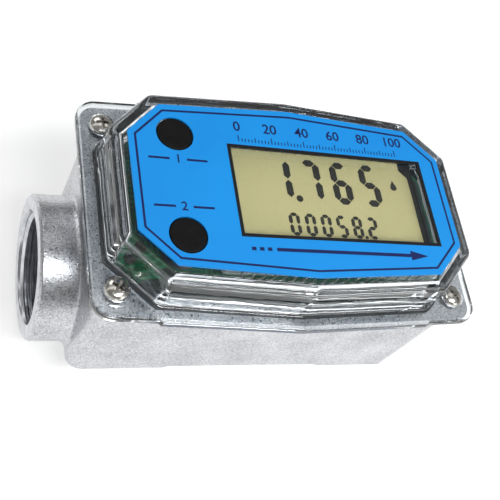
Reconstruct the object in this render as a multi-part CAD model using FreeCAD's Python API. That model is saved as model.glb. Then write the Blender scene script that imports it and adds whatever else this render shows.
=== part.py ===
import FreeCAD, Part
import math
import os

# Turbine flow meter with a battery-powered display.
# Millimetres. +X runs along the flow, +Z points out of the display face.
# The origin lies under the middle of the meter, on the surface it stands on.

# ---------------------------------------------------------------- driving dimensions

# heights, from the standing surface upward
AXIS_Z = 18.0                # flow axis
CAVITY_FLOOR_Z = 33.6        # floor of the electronics cavity
CAVITY_DEPTH = 13.5
RIM_THICKNESS = 2.2          # metal rim round the top of the cavity
FLANGE_THICKNESS = 2.2       # clear flange on the rim

# faceplate label: a long octagon whose two long sides are slightly bowed
LABEL_HALF_LENGTH = 38.4
LABEL_HALF_WIDTH_END = 19.1
LABEL_HALF_WIDTH_MID = 20.95
LABEL_CHAMFER = 7.5
LABEL_THICKNESS = 0.4
WINDOW_X = (-15.7, 32.3)
WINDOW_Y = (-11.3, 9.9)

# push buttons
BUTTON_X = -28.05
BUTTON_Y = {"calibrate": 11.83, "display": -12.33}
BUTTON_RADIUS = 4.0
BUTTON_GAP = 0.15            # running gap between a button and its hole
BUTTON_PROUD = 0.1
BUTTON_LIP_RADIUS = 4.9
BUTTON_LIP_THICKNESS = 0.9
BUTTON_STEM_RADIUS = 1.3
BUTTON_TRAVEL = 0.5

# clear cover
COVER_OFFSET = 3.5           # raised outer wall outside the label outline
COVER_DRAFT = 0.5            # how much wider the wall stands at its foot
COVER_WALL = 2.3
DECK_THICKNESS = 2.5
COVER_EDGE_RADIUS = 1.8
COVER_EDGE_STEPS = 4         # flats that make up the soft top edge
FLANGE_HALF_LENGTH = 46.1
FLANGE_HALF_WIDTH_END = 25.8
FLANGE_HALF_WIDTH_MID = 28.1
FLANGE_CORNER_RADIUS = 4.6
FLANGE_STEP = 0.5            # proud middle stretch of each long flange edge
FLANGE_STEP_HALF_LENGTH = 32.0

# cover screws and their pattern
SCREW_X = 40.6
SCREW_Y = 19.7
SCREW_RADIUS = 1.5
SCREW_LENGTH = 8.0           # under the head
SCREW_HEAD_RADIUS = 2.6
SCREW_HEAD_HEIGHT = 1.9
SCREW_SHOULDER = 0.4         # upright share of the head height
SCREW_CROWN = 0.7            # flat crown and cross recess, as shares of the head radius
SCREW_CROSS_ARM = 0.6
SCREW_CROSS_WIDTH = 0.28
SCREW_TAP_CLEARANCE = 0.05   # between a screw and its tapped hole
SCREW_CLEARANCE = 0.2
SCREW_RECESS_DEPTH = 0.8

# gasket in its groove
GASKET_OFFSET = 2.2          # inner edge outside the label outline
GASKET_WIDTH = 2.2
GASKET_HEIGHT = 1.5

# cast body
BODY_HALF_LENGTH = 43.2
BODY_HALF_WIDTH = 23.7
BODY_CORNER_RADIUS = 5.0
BODY_BOTTOM_Z = 10.8         # under the two end blocks
BODY_STEP = 4.2              # the middle stretch is this much shallower
BODY_STEP_X = 24.0
BODY_STEP_RUN = 4.5
BELLY_CORNER_RADIUS = 4.0
RIM_INSET = 1.0              # metal rim inside the clear flange outline
CAVITY_OFFSET = 0.4          # cavity wall outside the label outline

# flow passage
TUBE_RADIUS = 17.4           # belly of the body round the passage
PORT_RADIUS = 17.1
PORT_FACE_X = 52.2
PORT_EDGE_CHAMFER = 0.6
PORT_NECK_RADIUS = 1.4
PORT_NECK_STEPS = 2          # cones that make up the hollow flare
PORT_MOUTH_RADIUS = 13.5
PORT_MOUTH_DEPTH = 1.1
THREAD_RADIUS = 12.9         # 3/4 inch pipe thread, as a plain bore
THREAD_LENGTH = 14.0
CHAMBER_RADIUS = 11.4        # seats the rotor supports
THROAT_RADIUS = 10.5         # passage round the rotor
THROAT_HALF_LENGTH = 12.0
FOOT_HALF_LENGTH = 22.0
FOOT_HALF_WIDTH = 9.0

# turbine
BLADE_COUNT = 6
BLADE_PITCH = 62.0           # axial advance of the blades per turn
BLADE_HALF_LENGTH = 4.2
BLADE_THICKNESS = 1.3
BLADE_EDGE_THICKNESS = 0.4
BLADE_TIP_CLEARANCE = 0.45
BLADE_STATIONS = 4           # spans along each twisted blade
ROTOR_HUB_RADIUS = 3.8
ROTOR_HUB_HALF_LENGTH = 5.0
ROTOR_HUB_CHAMFER = 0.5
SHAFT_RADIUS = 0.8
SHAFT_HALF_LENGTH = 11.0
SHAFT_CLEARANCE = 0.04

# rotor supports, bearings and retaining rings
SUPPORT_LENGTH = 12.0        # of the outer ring and the vanes
SUPPORT_RING_WALL = 1.0
SUPPORT_HUB_RADIUS = 4.2
SUPPORT_NOSE_LENGTH = 7.0
NOSE_STEPS = 3               # cones that make up the round nose
SUPPORT_GAP = 0.05           # sliding gap in the chamber
VANE_COUNT = 4
VANE_THICKNESS = 1.1
BEARING_RADIUS = 2.2
BEARING_LENGTH = 6.0
BEARING_FLANGE_RADIUS = 3.1
BEARING_FLANGE_THICKNESS = 0.7
ROTOR_END_PLAY = 0.3
RING_THICKNESS = 1.1
RING_WIDTH = 1.5
RING_GROOVE_DEPTH = 0.7
RING_OPENING_DEG = 40.0
RING_LUG_RADIUS = 1.2

# pickup coil over the rotor
WELL_RADIUS = 6.2
WELL_WALL = 1.3              # metal left between the well and the throat
BOBBIN_CLEARANCE = 0.2
BOBBIN_HEIGHT = 11.0
BOBBIN_FLANGE = 0.8
BOBBIN_CORE_RADIUS = 2.3
WINDING_RADIUS = 5.2
MAGNET_RADIUS = 1.5
PICKUP_PIN_SIZE = 0.64
PICKUP_PIN_Y = 3.2

# circuit board, its bosses and screws
BOARD_OFFSET = 0.6           # board edge outside the label outline
BOARD_THICKNESS = 1.6
BOARD_LIFT = 0.2             # board underside above the joint face
BOSS_X = 34.0
BOSS_Y = 7.0
BOSS_RADIUS = 3.0
BOARD_SCREW_RADIUS = 1.2
BOARD_SCREW_LENGTH = 7.0
BOARD_SCREW_HEAD_RADIUS = 2.2
BOARD_SCREW_HEAD_HEIGHT = 1.4
BOARD_HOLE_X = -36.5         # spare locating hole beside the display button
BOARD_HOLE_Y = -11.9
BOARD_HOLE_RADIUS = 1.3

# liquid crystal display
LCD_X = (-19.5, 33.0)
LCD_Y = (-17.6, 13.1)
LCD_THICKNESS = 2.6
LCD_CORNER_RADIUS = 1.0
LCD_GAP = 2.2                # between the display glass and the deck
LCD_FRAME_HEIGHT = 2.9
LCD_FRAME_INSET = 1.6
LCD_FRAME_WALL = 2.0
LCD_SHELF = 3.0              # the frame reaches this far past the glass on the right
LCD_SHELF_THICKNESS = 1.0
LCD_SHELF_Y = (-12.5, 9.5)
LCD_PIN_COUNT = 18
LCD_PIN_PITCH = 2.54
LCD_PIN_SIZE = 0.5
LCD_PIN_THICKNESS = 0.35

# parts on the board
SWITCH_SIZE = 6.0
SWITCH_HEIGHT = 3.5
SWITCH_BORE_DEPTH = 1.6
CHIP_SIZE = 7.0
CHIP_HEIGHT = 1.1
CHIP_X = 13.0
CAN_RADIUS = 2.5
CAN_HEIGHT = 5.0
CAN_Y = (-3.2, 3.2)
CAN_X = -25.0
CRYSTAL_LENGTH = 8.0
CRYSTAL_WIDTH = 3.6
CRYSTAL_HEIGHT = 3.0
CRYSTAL_X = -13.0
RESISTOR_X = -33.5
RESISTOR_SIZE = (1.6, 0.9, 0.5)
RESISTOR_PITCH = 1.6
RESISTOR_COUNT = 3
RESISTOR_ROWS_Y = (-1.3, 12.4)

# batteries and their tray
CELL_RADIUS = 5.2
CELL_LENGTH = 43.0
CELL_NUB_RADIUS = 1.9
CELL_NUB_LENGTH = 1.0
CELL_Y = 13.0
TRAY_FLOOR = 1.0
TRAY_WALL = 1.0
TRAY_HEIGHT = 8.0
TRAY_CLEARANCE = 0.15
CONTACT_THICKNESS = 0.4
CONTACT_WIDTH = 7.0
SPRING_LENGTH = 1.2
SPRING_RADIUS = 2.6

# ---------------------------------------------------------------- derived heights

RIM_TOP_Z = CAVITY_FLOOR_Z + CAVITY_DEPTH
RIM_BOTTOM_Z = RIM_TOP_Z - RIM_THICKNESS
FLANGE_TOP_Z = RIM_TOP_Z + FLANGE_THICKNESS
BOARD_BOTTOM_Z = RIM_TOP_Z + BOARD_LIFT
BOARD_TOP_Z = BOARD_BOTTOM_Z + BOARD_THICKNESS
LCD_BOTTOM_Z = BOARD_TOP_Z + LCD_FRAME_HEIGHT
LCD_TOP_Z = LCD_BOTTOM_Z + LCD_THICKNESS
DECK_BOTTOM_Z = LCD_TOP_Z + LCD_GAP
DECK_TOP_Z = DECK_BOTTOM_Z + DECK_THICKNESS
LABEL_TOP_Z = DECK_TOP_Z + LABEL_THICKNESS
WELL_FLOOR_Z = AXIS_Z + THROAT_RADIUS + WELL_WALL
SUPPORT_INNER_X = ROTOR_HUB_HALF_LENGTH + ROTOR_END_PLAY + BEARING_FLANGE_THICKNESS
SUPPORT_OUTER_X = THROAT_HALF_LENGTH + SUPPORT_LENGTH
RING_GROOVE_X = SUPPORT_OUTER_X + SUPPORT_GAP
CELL_Z = CAVITY_FLOOR_Z + TRAY_FLOOR + CELL_RADIUS + TRAY_CLEARANCE

Vec = FreeCAD.Vector
X_AXIS = Vec(1, 0, 0)
CORNERS = [(1, 1), (-1, 1), (-1, -1), (1, -1)]

# ---------------------------------------------------------------- helpers


def block(x, y, z):
    """Box between two values along each axis."""
    size = [pair[1] - pair[0] for pair in (x, y, z)]
    return Part.makeBox(*size, Vec(x[0], y[0], z[0]))


def rod(radius, z, at=(0, 0)):
    """Upright cylinder between two heights."""
    return Part.makeCylinder(radius, z[1] - z[0], Vec(at[0], at[1], z[0]))


def flow_rod(radius, x):
    """Cylinder round the flow axis between two values of x."""
    return Part.makeCylinder(radius, x[1] - x[0], Vec(x[0], 0, AXIS_Z), X_AXIS)


def polygon(points):
    """Closed wire through points."""
    return Part.makePolygon([*points, points[0]])


def outline(offset, z):
    """Label outline grown by an offset, as a closed wire at height z."""
    length = LABEL_HALF_LENGTH + offset
    end = LABEL_HALF_WIDTH_END + offset
    middle = LABEL_HALF_WIDTH_MID + offset
    chamfer = LABEL_CHAMFER + offset * (2 - math.sqrt(2))
    right = [(length, end - chamfer), (length - chamfer, end)]
    left = [(-x, y) for x, y in reversed(right)]
    top = right + [(0, middle)] + left
    bottom = [(-x, -y) for x, y in top]
    return polygon([Vec(x, y, z) for x, y in top + bottom])


def outline_prism(offset, z):
    """Label outline grown by an offset, between two heights."""
    return Part.Face(outline(offset, z[0])).extrude(Vec(0, 0, z[1] - z[0]))


def upright_edges(solid, x_min):
    """Vertical edges of a solid whose distance from the YZ plane is at least x_min."""
    found = []
    for edge in solid.Edges:
        low, high = edge.BoundBox.ZMin, edge.BoundBox.ZMax
        if high - low > 0.9 * solid.BoundBox.ZLength and abs(edge.CenterOfMass.x) > x_min:
            found.append(edge)
    return found


def flange_prism(offset, z):
    """Bowed rectangle with rounded corners, between two heights."""
    length = FLANGE_HALF_LENGTH + offset
    end = FLANGE_HALF_WIDTH_END + offset
    middle = FLANGE_HALF_WIDTH_MID + offset
    points = [(length, end), (0, middle), (-length, end), (-length, -end), (0, -middle), (length, -end)]
    face = Part.Face(polygon([Vec(x, y, z[0]) for x, y in points]))
    prism = face.extrude(Vec(0, 0, z[1] - z[0]))
    return prism.makeFillet(FLANGE_CORNER_RADIUS + offset, upright_edges(prism, length / 2))


def revolve_flow(profile):
    """Solid of revolution round the flow axis from (x, radius) points."""
    face = Part.Face(polygon([Vec(x, 0, AXIS_Z + radius) for x, radius in profile]))
    return face.revolve(Vec(0, 0, AXIS_Z), X_AXIS, 360)


def mirror_x(shape):
    """Mirror image on the other side of the YZ plane."""
    return shape.mirror(Vec(0, 0, 0), X_AXIS)


def union(shapes):
    """One solid from overlapping or touching solids."""
    first, *rest = shapes
    return first.fuse(rest).removeSplitter()


# ---------------------------------------------------------------- cast body


def end_prism(half_length):
    """Block with the end view of the casting: straight sides and soft lower edges."""
    width = (-BODY_HALF_WIDTH, BODY_HALF_WIDTH)
    prism = block((-half_length, half_length), width, (BODY_BOTTOM_Z, RIM_TOP_Z))
    low_edges = [edge for edge in prism.Edges
                 if edge.BoundBox.ZMax < AXIS_Z and edge.BoundBox.XLength > half_length]
    return prism.makeFillet(BELLY_CORNER_RADIUS, low_edges)


def body_block():
    """Boxy casting under the rim: rounded corners, soft lower edges, shallow middle."""
    length, width, bottom = BODY_HALF_LENGTH, BODY_HALF_WIDTH, BODY_BOTTOM_Z
    step_in = BODY_STEP_X - BODY_STEP_RUN
    side = [(length, bottom), (BODY_STEP_X, bottom), (step_in, bottom + BODY_STEP)]
    side += [(-x, z) for x, z in reversed(side)]
    side += [(-length, RIM_TOP_Z), (length, RIM_TOP_Z)]
    long_view = Part.Face(polygon([Vec(x, -width, z) for x, z in side])).extrude(Vec(0, 2 * width, 0))

    plan = block((-length, length), (-width, width), (bottom, RIM_TOP_Z))
    plan = plan.makeFillet(BODY_CORNER_RADIUS, upright_edges(plan, length / 2))
    return plan.common(end_prism(length)).common(long_view)


def port_outside():
    """Machined collar of the right-hand port."""
    face_x, radius, edge = PORT_FACE_X, PORT_RADIUS, PORT_EDGE_CHAMFER
    return revolve_flow([(0, 0), (0, radius), (face_x - edge, radius), (face_x, radius - edge), (face_x, 0)])


def passage():
    """Right-hand half of the flow passage, with its ring groove and threaded mouth."""
    thread_end = PORT_FACE_X - THREAD_LENGTH
    chamfer_start = PORT_FACE_X - PORT_MOUTH_DEPTH
    groove_end = RING_GROOVE_X + RING_THICKNESS + SUPPORT_GAP
    groove_radius = CHAMBER_RADIUS + RING_GROOVE_DEPTH
    return revolve_flow([
        (0, 0), (0, THROAT_RADIUS), (THROAT_HALF_LENGTH, THROAT_RADIUS),
        (THROAT_HALF_LENGTH, CHAMBER_RADIUS), (RING_GROOVE_X, CHAMBER_RADIUS),
        (RING_GROOVE_X, groove_radius), (groove_end, groove_radius),
        (groove_end, CHAMBER_RADIUS), (thread_end, CHAMBER_RADIUS),
        (thread_end, THREAD_RADIUS), (chamfer_start, THREAD_RADIUS),
        (PORT_FACE_X, PORT_MOUTH_RADIUS), (PORT_FACE_X + 1, PORT_MOUTH_RADIUS), (PORT_FACE_X + 1, 0),
    ])


def port_neck():
    """Hollow flare where the right-hand port meets the end wall, no wider than that wall."""
    wall_x, radius, neck = BODY_HALF_LENGTH, PORT_RADIUS, PORT_NECK_RADIUS
    flare = []
    for step in range(PORT_NECK_STEPS + 1):
        angle = math.pi / 2 * step / PORT_NECK_STEPS
        flare.append((wall_x + neck - neck * math.cos(angle), radius + neck - neck * math.sin(angle)))
    ring = revolve_flow([(wall_x - 1, 0), (wall_x - 1, radius + neck), *flare, (wall_x + neck, 0)])
    return ring.common(end_prism(wall_x + neck))


def meter_body():
    """Aluminium casting: flow tube, ports, electronics cavity and rim."""
    casting = body_block()
    port = port_outside()
    neck = port_neck()
    casting = union([casting, port, mirror_x(port), neck, mirror_x(neck)])
    tube = flow_rod(TUBE_RADIUS, (-BODY_HALF_LENGTH, BODY_HALF_LENGTH))
    foot = block((-FOOT_HALF_LENGTH, FOOT_HALF_LENGTH), (-FOOT_HALF_WIDTH, FOOT_HALF_WIDTH), (0, AXIS_Z / 2))
    rim = flange_prism(-RIM_INSET, (RIM_BOTTOM_Z, RIM_TOP_Z))
    casting = union([casting, tube, foot, rim])

    cavity = outline_prism(CAVITY_OFFSET, (CAVITY_FLOOR_Z, RIM_TOP_Z + 1))
    bosses = [rod(BOSS_RADIUS, (CAVITY_FLOOR_Z, BOARD_BOTTOM_Z), (sx * BOSS_X, sy * BOSS_Y))
              for sx, sy in CORNERS]
    casting = casting.cut(cavity).fuse(bosses)

    bore = passage()
    groove = outline_prism(GASKET_OFFSET + GASKET_WIDTH, (RIM_TOP_Z - GASKET_HEIGHT, RIM_TOP_Z + 1))
    groove = groove.cut(outline_prism(GASKET_OFFSET, (CAVITY_FLOOR_Z, RIM_TOP_Z + 1)))
    cuts = [bore, mirror_x(bore), groove, rod(WELL_RADIUS, (WELL_FLOOR_Z, RIM_TOP_Z))]
    for sx, sy in CORNERS:
        screw_at = (sx * SCREW_X, sy * SCREW_Y)
        tap_depth = SCREW_LENGTH - (FLANGE_TOP_Z - SCREW_RECESS_DEPTH - RIM_TOP_Z) + 1
        cuts.append(rod(SCREW_RADIUS + SCREW_TAP_CLEARANCE, (RIM_TOP_Z - tap_depth, RIM_TOP_Z + 1), screw_at))
        boss_at = (sx * BOSS_X, sy * BOSS_Y)
        boss_tap_z = (BOARD_TOP_Z - BOARD_SCREW_LENGTH - 1, BOARD_BOTTOM_Z + 1)
        cuts.append(rod(BOARD_SCREW_RADIUS + SCREW_TAP_CLEARANCE, boss_tap_z, boss_at))
    return casting.cut(cuts)


def cover_gasket():
    """Rubber gasket that fills the groove in the rim."""
    z = (RIM_TOP_Z - GASKET_HEIGHT, RIM_TOP_Z)
    edge_gap = SUPPORT_GAP
    outer = outline_prism(GASKET_OFFSET + GASKET_WIDTH - edge_gap, z)
    return outer.cut(outline_prism(GASKET_OFFSET + edge_gap, z))


# ---------------------------------------------------------------- clear cover and face


def clear_cover():
    """Polycarbonate cover: bowed flange, raised wall with a soft edge, deck."""
    edge = COVER_EDGE_RADIUS
    rings = [outline(COVER_OFFSET + COVER_DRAFT, RIM_TOP_Z)]
    for step in range(COVER_EDGE_STEPS + 1):
        angle = math.pi / 2 * step / COVER_EDGE_STEPS
        offset = COVER_OFFSET - edge + edge * math.cos(angle)
        rings.append(outline(offset, DECK_TOP_Z - edge + edge * math.sin(angle)))
    raised = Part.makeLoft(rings, True, True)

    z = (RIM_TOP_Z, FLANGE_TOP_Z)
    wide = (-2 * FLANGE_HALF_WIDTH_MID, 2 * FLANGE_HALF_WIDTH_MID)
    middle = block((-FLANGE_STEP_HALF_LENGTH, FLANGE_STEP_HALF_LENGTH), wide, z)
    proud = flange_prism(FLANGE_STEP, z).common(middle)
    cover = union([flange_prism(0, z), proud, raised])

    hollow = outline_prism(COVER_OFFSET - COVER_WALL, (RIM_TOP_Z - 1, DECK_BOTTOM_Z))
    cuts = [hollow]
    for y in BUTTON_Y.values():
        cuts.append(rod(BUTTON_RADIUS + BUTTON_GAP, (DECK_BOTTOM_Z - 1, DECK_TOP_Z + 1), (BUTTON_X, y)))
    recess_z = (FLANGE_TOP_Z - SCREW_RECESS_DEPTH, FLANGE_TOP_Z + SCREW_HEAD_HEIGHT)
    for sx, sy in CORNERS:
        at = (sx * SCREW_X, sy * SCREW_Y)
        cuts.append(rod(SCREW_RADIUS + SCREW_CLEARANCE, (RIM_TOP_Z - 1, FLANGE_TOP_Z + 1), at))
        cuts.append(rod(SCREW_HEAD_RADIUS + SCREW_CLEARANCE, recess_z, at))
    return cover.cut(cuts)


def cover_screw(x, y):
    """Domed screw with a cross recess, its head in the recess of the flange."""
    z = FLANGE_TOP_Z - SCREW_RECESS_DEPTH
    head, height = SCREW_HEAD_RADIUS, SCREW_HEAD_HEIGHT
    shoulder = SCREW_SHOULDER * height
    profile = [(0, -SCREW_LENGTH), (SCREW_RADIUS, -SCREW_LENGTH), (SCREW_RADIUS, 0), (head, 0),
               (head, shoulder), (SCREW_CROWN * head, height), (0, height)]
    face = Part.Face(polygon([Vec(x + radius, y, z + up) for radius, up in profile]))
    body = face.revolve(Vec(x, y, z), Vec(0, 0, 1), 360)
    arm, half_slot = SCREW_CROSS_ARM * head, SCREW_CROSS_WIDTH * head / 2
    slot_z = (z + shoulder, z + height + 1)
    along_x = block((x - arm, x + arm), (y - half_slot, y + half_slot), slot_z)
    along_y = block((x - half_slot, x + half_slot), (y - arm, y + arm), slot_z)
    return body.cut(along_x.fuse(along_y))


def cover_screws():
    """Four screws through the flange into the rim."""
    return [cover_screw(sx * SCREW_X, sy * SCREW_Y) for sx, sy in CORNERS]


def faceplate_label():
    """Printed plate with a display window and two button holes."""
    plate = outline_prism(0, (DECK_TOP_Z, LABEL_TOP_Z))
    z = (DECK_TOP_Z - 1, LABEL_TOP_Z + 1)
    cuts = [block(WINDOW_X, WINDOW_Y, z)]
    for y in BUTTON_Y.values():
        cuts.append(rod(BUTTON_RADIUS + BUTTON_GAP, z, (BUTTON_X, y)))
    return plate.cut(cuts)


def button(y):
    """Cap, retaining lip and stem of one push button."""
    at = (BUTTON_X, y)
    lip_top = DECK_BOTTOM_Z - BUTTON_GAP
    lip_bottom = lip_top - BUTTON_LIP_THICKNESS
    switch_top = BOARD_TOP_Z + SWITCH_HEIGHT
    stem_bottom = switch_top - SWITCH_BORE_DEPTH + BUTTON_TRAVEL + BUTTON_GAP
    return union([
        rod(BUTTON_RADIUS, (lip_bottom, LABEL_TOP_Z + BUTTON_PROUD), at),
        rod(BUTTON_LIP_RADIUS, (lip_bottom, lip_top), at),
        rod(BUTTON_STEM_RADIUS, (stem_bottom, lip_bottom), at),
    ])


def button_switch(y):
    """Tactile switch on the board under one button."""
    half = SWITCH_SIZE / 2
    top = BOARD_TOP_Z + SWITCH_HEIGHT
    body = block((BUTTON_X - half, BUTTON_X + half), (y - half, y + half), (BOARD_TOP_Z, top))
    return body.cut(rod(BUTTON_STEM_RADIUS + BUTTON_GAP, (top - SWITCH_BORE_DEPTH, top + 1), (BUTTON_X, y)))


# ---------------------------------------------------------------- display and board


def lcd_glass():
    """Display glass, a flat sandwich with rounded corners."""
    glass = block(LCD_X, LCD_Y, (LCD_BOTTOM_Z, LCD_TOP_Z))
    return glass.makeFillet(LCD_CORNER_RADIUS, upright_edges(glass, 0))


def lcd_frame():
    """Moulded frame that holds the glass above the board."""
    inset = LCD_FRAME_INSET
    x = (LCD_X[0] + inset, LCD_X[1] - inset)
    y = (LCD_Y[0] + inset, LCD_Y[1] - inset)
    wall = LCD_FRAME_WALL
    z = (BOARD_TOP_Z, LCD_BOTTOM_Z)
    inner = block((x[0] + wall, x[1] - wall), (y[0] + wall, y[1] - wall), (z[0] - 1, z[1] + 1))
    shelf = block((x[1] - wall, LCD_X[1] + LCD_SHELF), LCD_SHELF_Y, (z[1] - LCD_SHELF_THICKNESS, z[1]))
    return union([block(x, y, z).cut(inner), shelf])


def lcd_pins():
    """Clip pins along both long edges of the glass, down to the board."""
    size, thickness = LCD_PIN_SIZE, LCD_PIN_THICKNESS
    first = (LCD_X[0] + LCD_X[1]) / 2 - LCD_PIN_PITCH * (LCD_PIN_COUNT - 1) / 2
    pins = []
    for edge_y, out in ((LCD_Y[0], -1), (LCD_Y[1], 1)):
        for number in range(LCD_PIN_COUNT):
            x = first + number * LCD_PIN_PITCH
            span = (x - size / 2, x + size / 2)
            post_y = sorted((edge_y, edge_y + out * thickness))
            post = block(span, post_y, (BOARD_TOP_Z, LCD_TOP_Z + thickness))
            clip_y = sorted((edge_y - out * 2 * size, edge_y))
            clip = block(span, clip_y, (LCD_TOP_Z, LCD_TOP_Z + thickness))
            pins.append(union([post, clip]))
    return pins


def circuit_board():
    """Board with its four screw holes, pickup pin holes and a locating hole."""
    z = (BOARD_BOTTOM_Z, BOARD_TOP_Z)
    through = (z[0] - 1, z[1] + 1)
    board = outline_prism(BOARD_OFFSET, z)
    radius = BOARD_SCREW_RADIUS + SCREW_CLEARANCE
    cuts = [rod(radius, through, (sx * BOSS_X, sy * BOSS_Y)) for sx, sy in CORNERS]
    cuts.append(rod(BOARD_HOLE_RADIUS, through, (BOARD_HOLE_X, BOARD_HOLE_Y)))
    return board.cut(cuts)


def board_screws():
    """Four screws that hold the board on its bosses."""
    shank_z = (BOARD_TOP_Z - BOARD_SCREW_LENGTH, BOARD_TOP_Z)
    head_z = (BOARD_TOP_Z, BOARD_TOP_Z + BOARD_SCREW_HEAD_HEIGHT)
    screws = []
    for sx, sy in CORNERS:
        at = (sx * BOSS_X, sy * BOSS_Y)
        screws.append(union([rod(BOARD_SCREW_HEAD_RADIUS, head_z, at), rod(BOARD_SCREW_RADIUS, shank_z, at)]))
    return screws


def microcontroller():
    """Square chip under the board."""
    half = CHIP_SIZE / 2
    z = (BOARD_BOTTOM_Z - CHIP_HEIGHT, BOARD_BOTTOM_Z)
    return block((CHIP_X - half, CHIP_X + half), (-half, half), z)


def crystal():
    """Oscillator can under the board."""
    half = (CRYSTAL_LENGTH - CRYSTAL_WIDTH) / 2
    z = (BOARD_BOTTOM_Z - CRYSTAL_HEIGHT, BOARD_BOTTOM_Z)
    ends = [rod(CRYSTAL_WIDTH / 2, z, (CRYSTAL_X, y)) for y in (-half, half)]
    middle = block((CRYSTAL_X - CRYSTAL_WIDTH / 2, CRYSTAL_X + CRYSTAL_WIDTH / 2), (-half, half), z)
    return union([middle, *ends])


def capacitors():
    """Two upright capacitor cans between the buttons."""
    return [rod(CAN_RADIUS, (BOARD_TOP_Z, BOARD_TOP_Z + CAN_HEIGHT), (CAN_X, y)) for y in CAN_Y]


def chip_resistors():
    """Rows of chip resistors along the short edge of the board."""
    length, width, height = RESISTOR_SIZE
    z = (BOARD_TOP_Z, BOARD_TOP_Z + height)
    chips = []
    for y in RESISTOR_ROWS_Y:
        for number in range(RESISTOR_COUNT):
            x = RESISTOR_X - number * RESISTOR_PITCH
            chips.append(block((x - width / 2, x + width / 2), (y - length / 2, y + length / 2), z))
    return chips


# ---------------------------------------------------------------- batteries and pickup


def tray_half_length():
    """Half length of one cell bay inside the tray."""
    return (CELL_LENGTH + CELL_NUB_LENGTH + SPRING_LENGTH) / 2 + CONTACT_THICKNESS + TRAY_CLEARANCE


def bay_width():
    """Half width of one cell bay inside the tray."""
    return CELL_RADIUS + TRAY_CLEARANCE


def battery_tray():
    """Tray with one bay on each side of the pickup well."""
    length = tray_half_length() + TRAY_WALL
    outer_y = CELL_Y + bay_width() + TRAY_WALL
    inner_y = CELL_Y - bay_width() - TRAY_WALL
    z = (CAVITY_FLOOR_Z, CAVITY_FLOOR_Z + TRAY_HEIGHT)
    tray = block((-length, length), (-outer_y, outer_y), z)
    cuts = []
    for side in (1, -1):
        bay_y = sorted((side * (CELL_Y - bay_width()), side * (CELL_Y + bay_width())))
        bay_z = (CAVITY_FLOOR_Z + TRAY_FLOOR, z[1] + 1)
        cuts.append(block((-tray_half_length(), tray_half_length()), bay_y, bay_z))
    well_x = length - 2 * TRAY_WALL
    cuts.append(block((-well_x, well_x), (-inner_y, inner_y), (z[0] - 1, z[1] + 1)))
    return tray.cut(cuts)


def battery_cells():
    """Two cylindrical cells, laid opposite ways."""
    cells = []
    for side in (1, -1):
        start = -(CELL_LENGTH + CELL_NUB_LENGTH - SPRING_LENGTH) / 2
        base = Vec(side * start, side * CELL_Y, CELL_Z)
        can = Part.makeCylinder(CELL_RADIUS, CELL_LENGTH, base, X_AXIS * side)
        nub_at = base + X_AXIS * side * CELL_LENGTH
        nub = Part.makeCylinder(CELL_NUB_RADIUS, CELL_NUB_LENGTH, nub_at, X_AXIS * side)
        cells.append(union([can, nub]))
    return cells


def battery_contacts():
    """Plate and spring at each end of each cell, with a tail up to the board."""
    contacts = []
    inner = tray_half_length() - CONTACT_THICKNESS
    half = CONTACT_WIDTH / 2
    z = (CAVITY_FLOOR_Z + TRAY_FLOOR + TRAY_CLEARANCE, BOARD_BOTTOM_Z)
    for side in (1, -1):
        y = side * CELL_Y
        for end in (1, -1):
            plate_x = sorted((end * inner, end * (inner + CONTACT_THICKNESS)))
            plate = block(plate_x, (y - half, y + half), z)
            if end == -side:
                spring = Part.makeCone(SPRING_RADIUS, SPRING_RADIUS / 2, SPRING_LENGTH,
                                       Vec(end * inner, y, CELL_Z), X_AXIS * -end)
                plate = union([plate, spring])
            contacts.append(plate)
    return contacts


def pickup_bobbin():
    """Coil former standing in the well over the rotor."""
    radius = WELL_RADIUS - BOBBIN_CLEARANCE
    top = WELL_FLOOR_Z + BOBBIN_HEIGHT
    former = union([
        rod(radius, (WELL_FLOOR_Z, WELL_FLOOR_Z + BOBBIN_FLANGE)),
        rod(BOBBIN_CORE_RADIUS, (WELL_FLOOR_Z, top)),
        rod(radius, (top - BOBBIN_FLANGE, top)),
    ])
    return former.cut(rod(MAGNET_RADIUS + SUPPORT_GAP, (WELL_FLOOR_Z - 1, top + 1)))


def pickup_winding():
    """Copper winding on the former."""
    z = (WELL_FLOOR_Z + BOBBIN_FLANGE, WELL_FLOOR_Z + BOBBIN_HEIGHT - BOBBIN_FLANGE)
    return rod(WINDING_RADIUS, z).cut(rod(BOBBIN_CORE_RADIUS + SUPPORT_GAP, z))


def pickup_magnet():
    """Magnet inside the former."""
    return rod(MAGNET_RADIUS, (WELL_FLOOR_Z, WELL_FLOOR_Z + BOBBIN_HEIGHT))


def pickup_pins():
    """Two pins from the former up to the board."""
    z = (WELL_FLOOR_Z + BOBBIN_HEIGHT, BOARD_BOTTOM_Z)
    half = PICKUP_PIN_SIZE / 2
    return [block((-half, half), (y - half, y + half), z) for y in (-PICKUP_PIN_Y, PICKUP_PIN_Y)]


# ---------------------------------------------------------------- turbine


def blade_section(x, root, tip):
    """Cross-section of one twisted blade at x, thin at both edges."""
    along = x / BLADE_HALF_LENGTH
    swell = 1 - along * along
    half = (BLADE_EDGE_THICKNESS + (BLADE_THICKNESS - BLADE_EDGE_THICKNESS) * swell) / 2
    turn = 2 * math.pi * x / BLADE_PITCH
    points = []
    for radius, side in ((root, -half), (tip, -half), (tip, half), (root, half)):
        y = radius * math.sin(turn) + side * math.cos(turn)
        z = radius * math.cos(turn) - side * math.sin(turn)
        points.append(Vec(x, y, AXIS_Z + z))
    return polygon(points)


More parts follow.
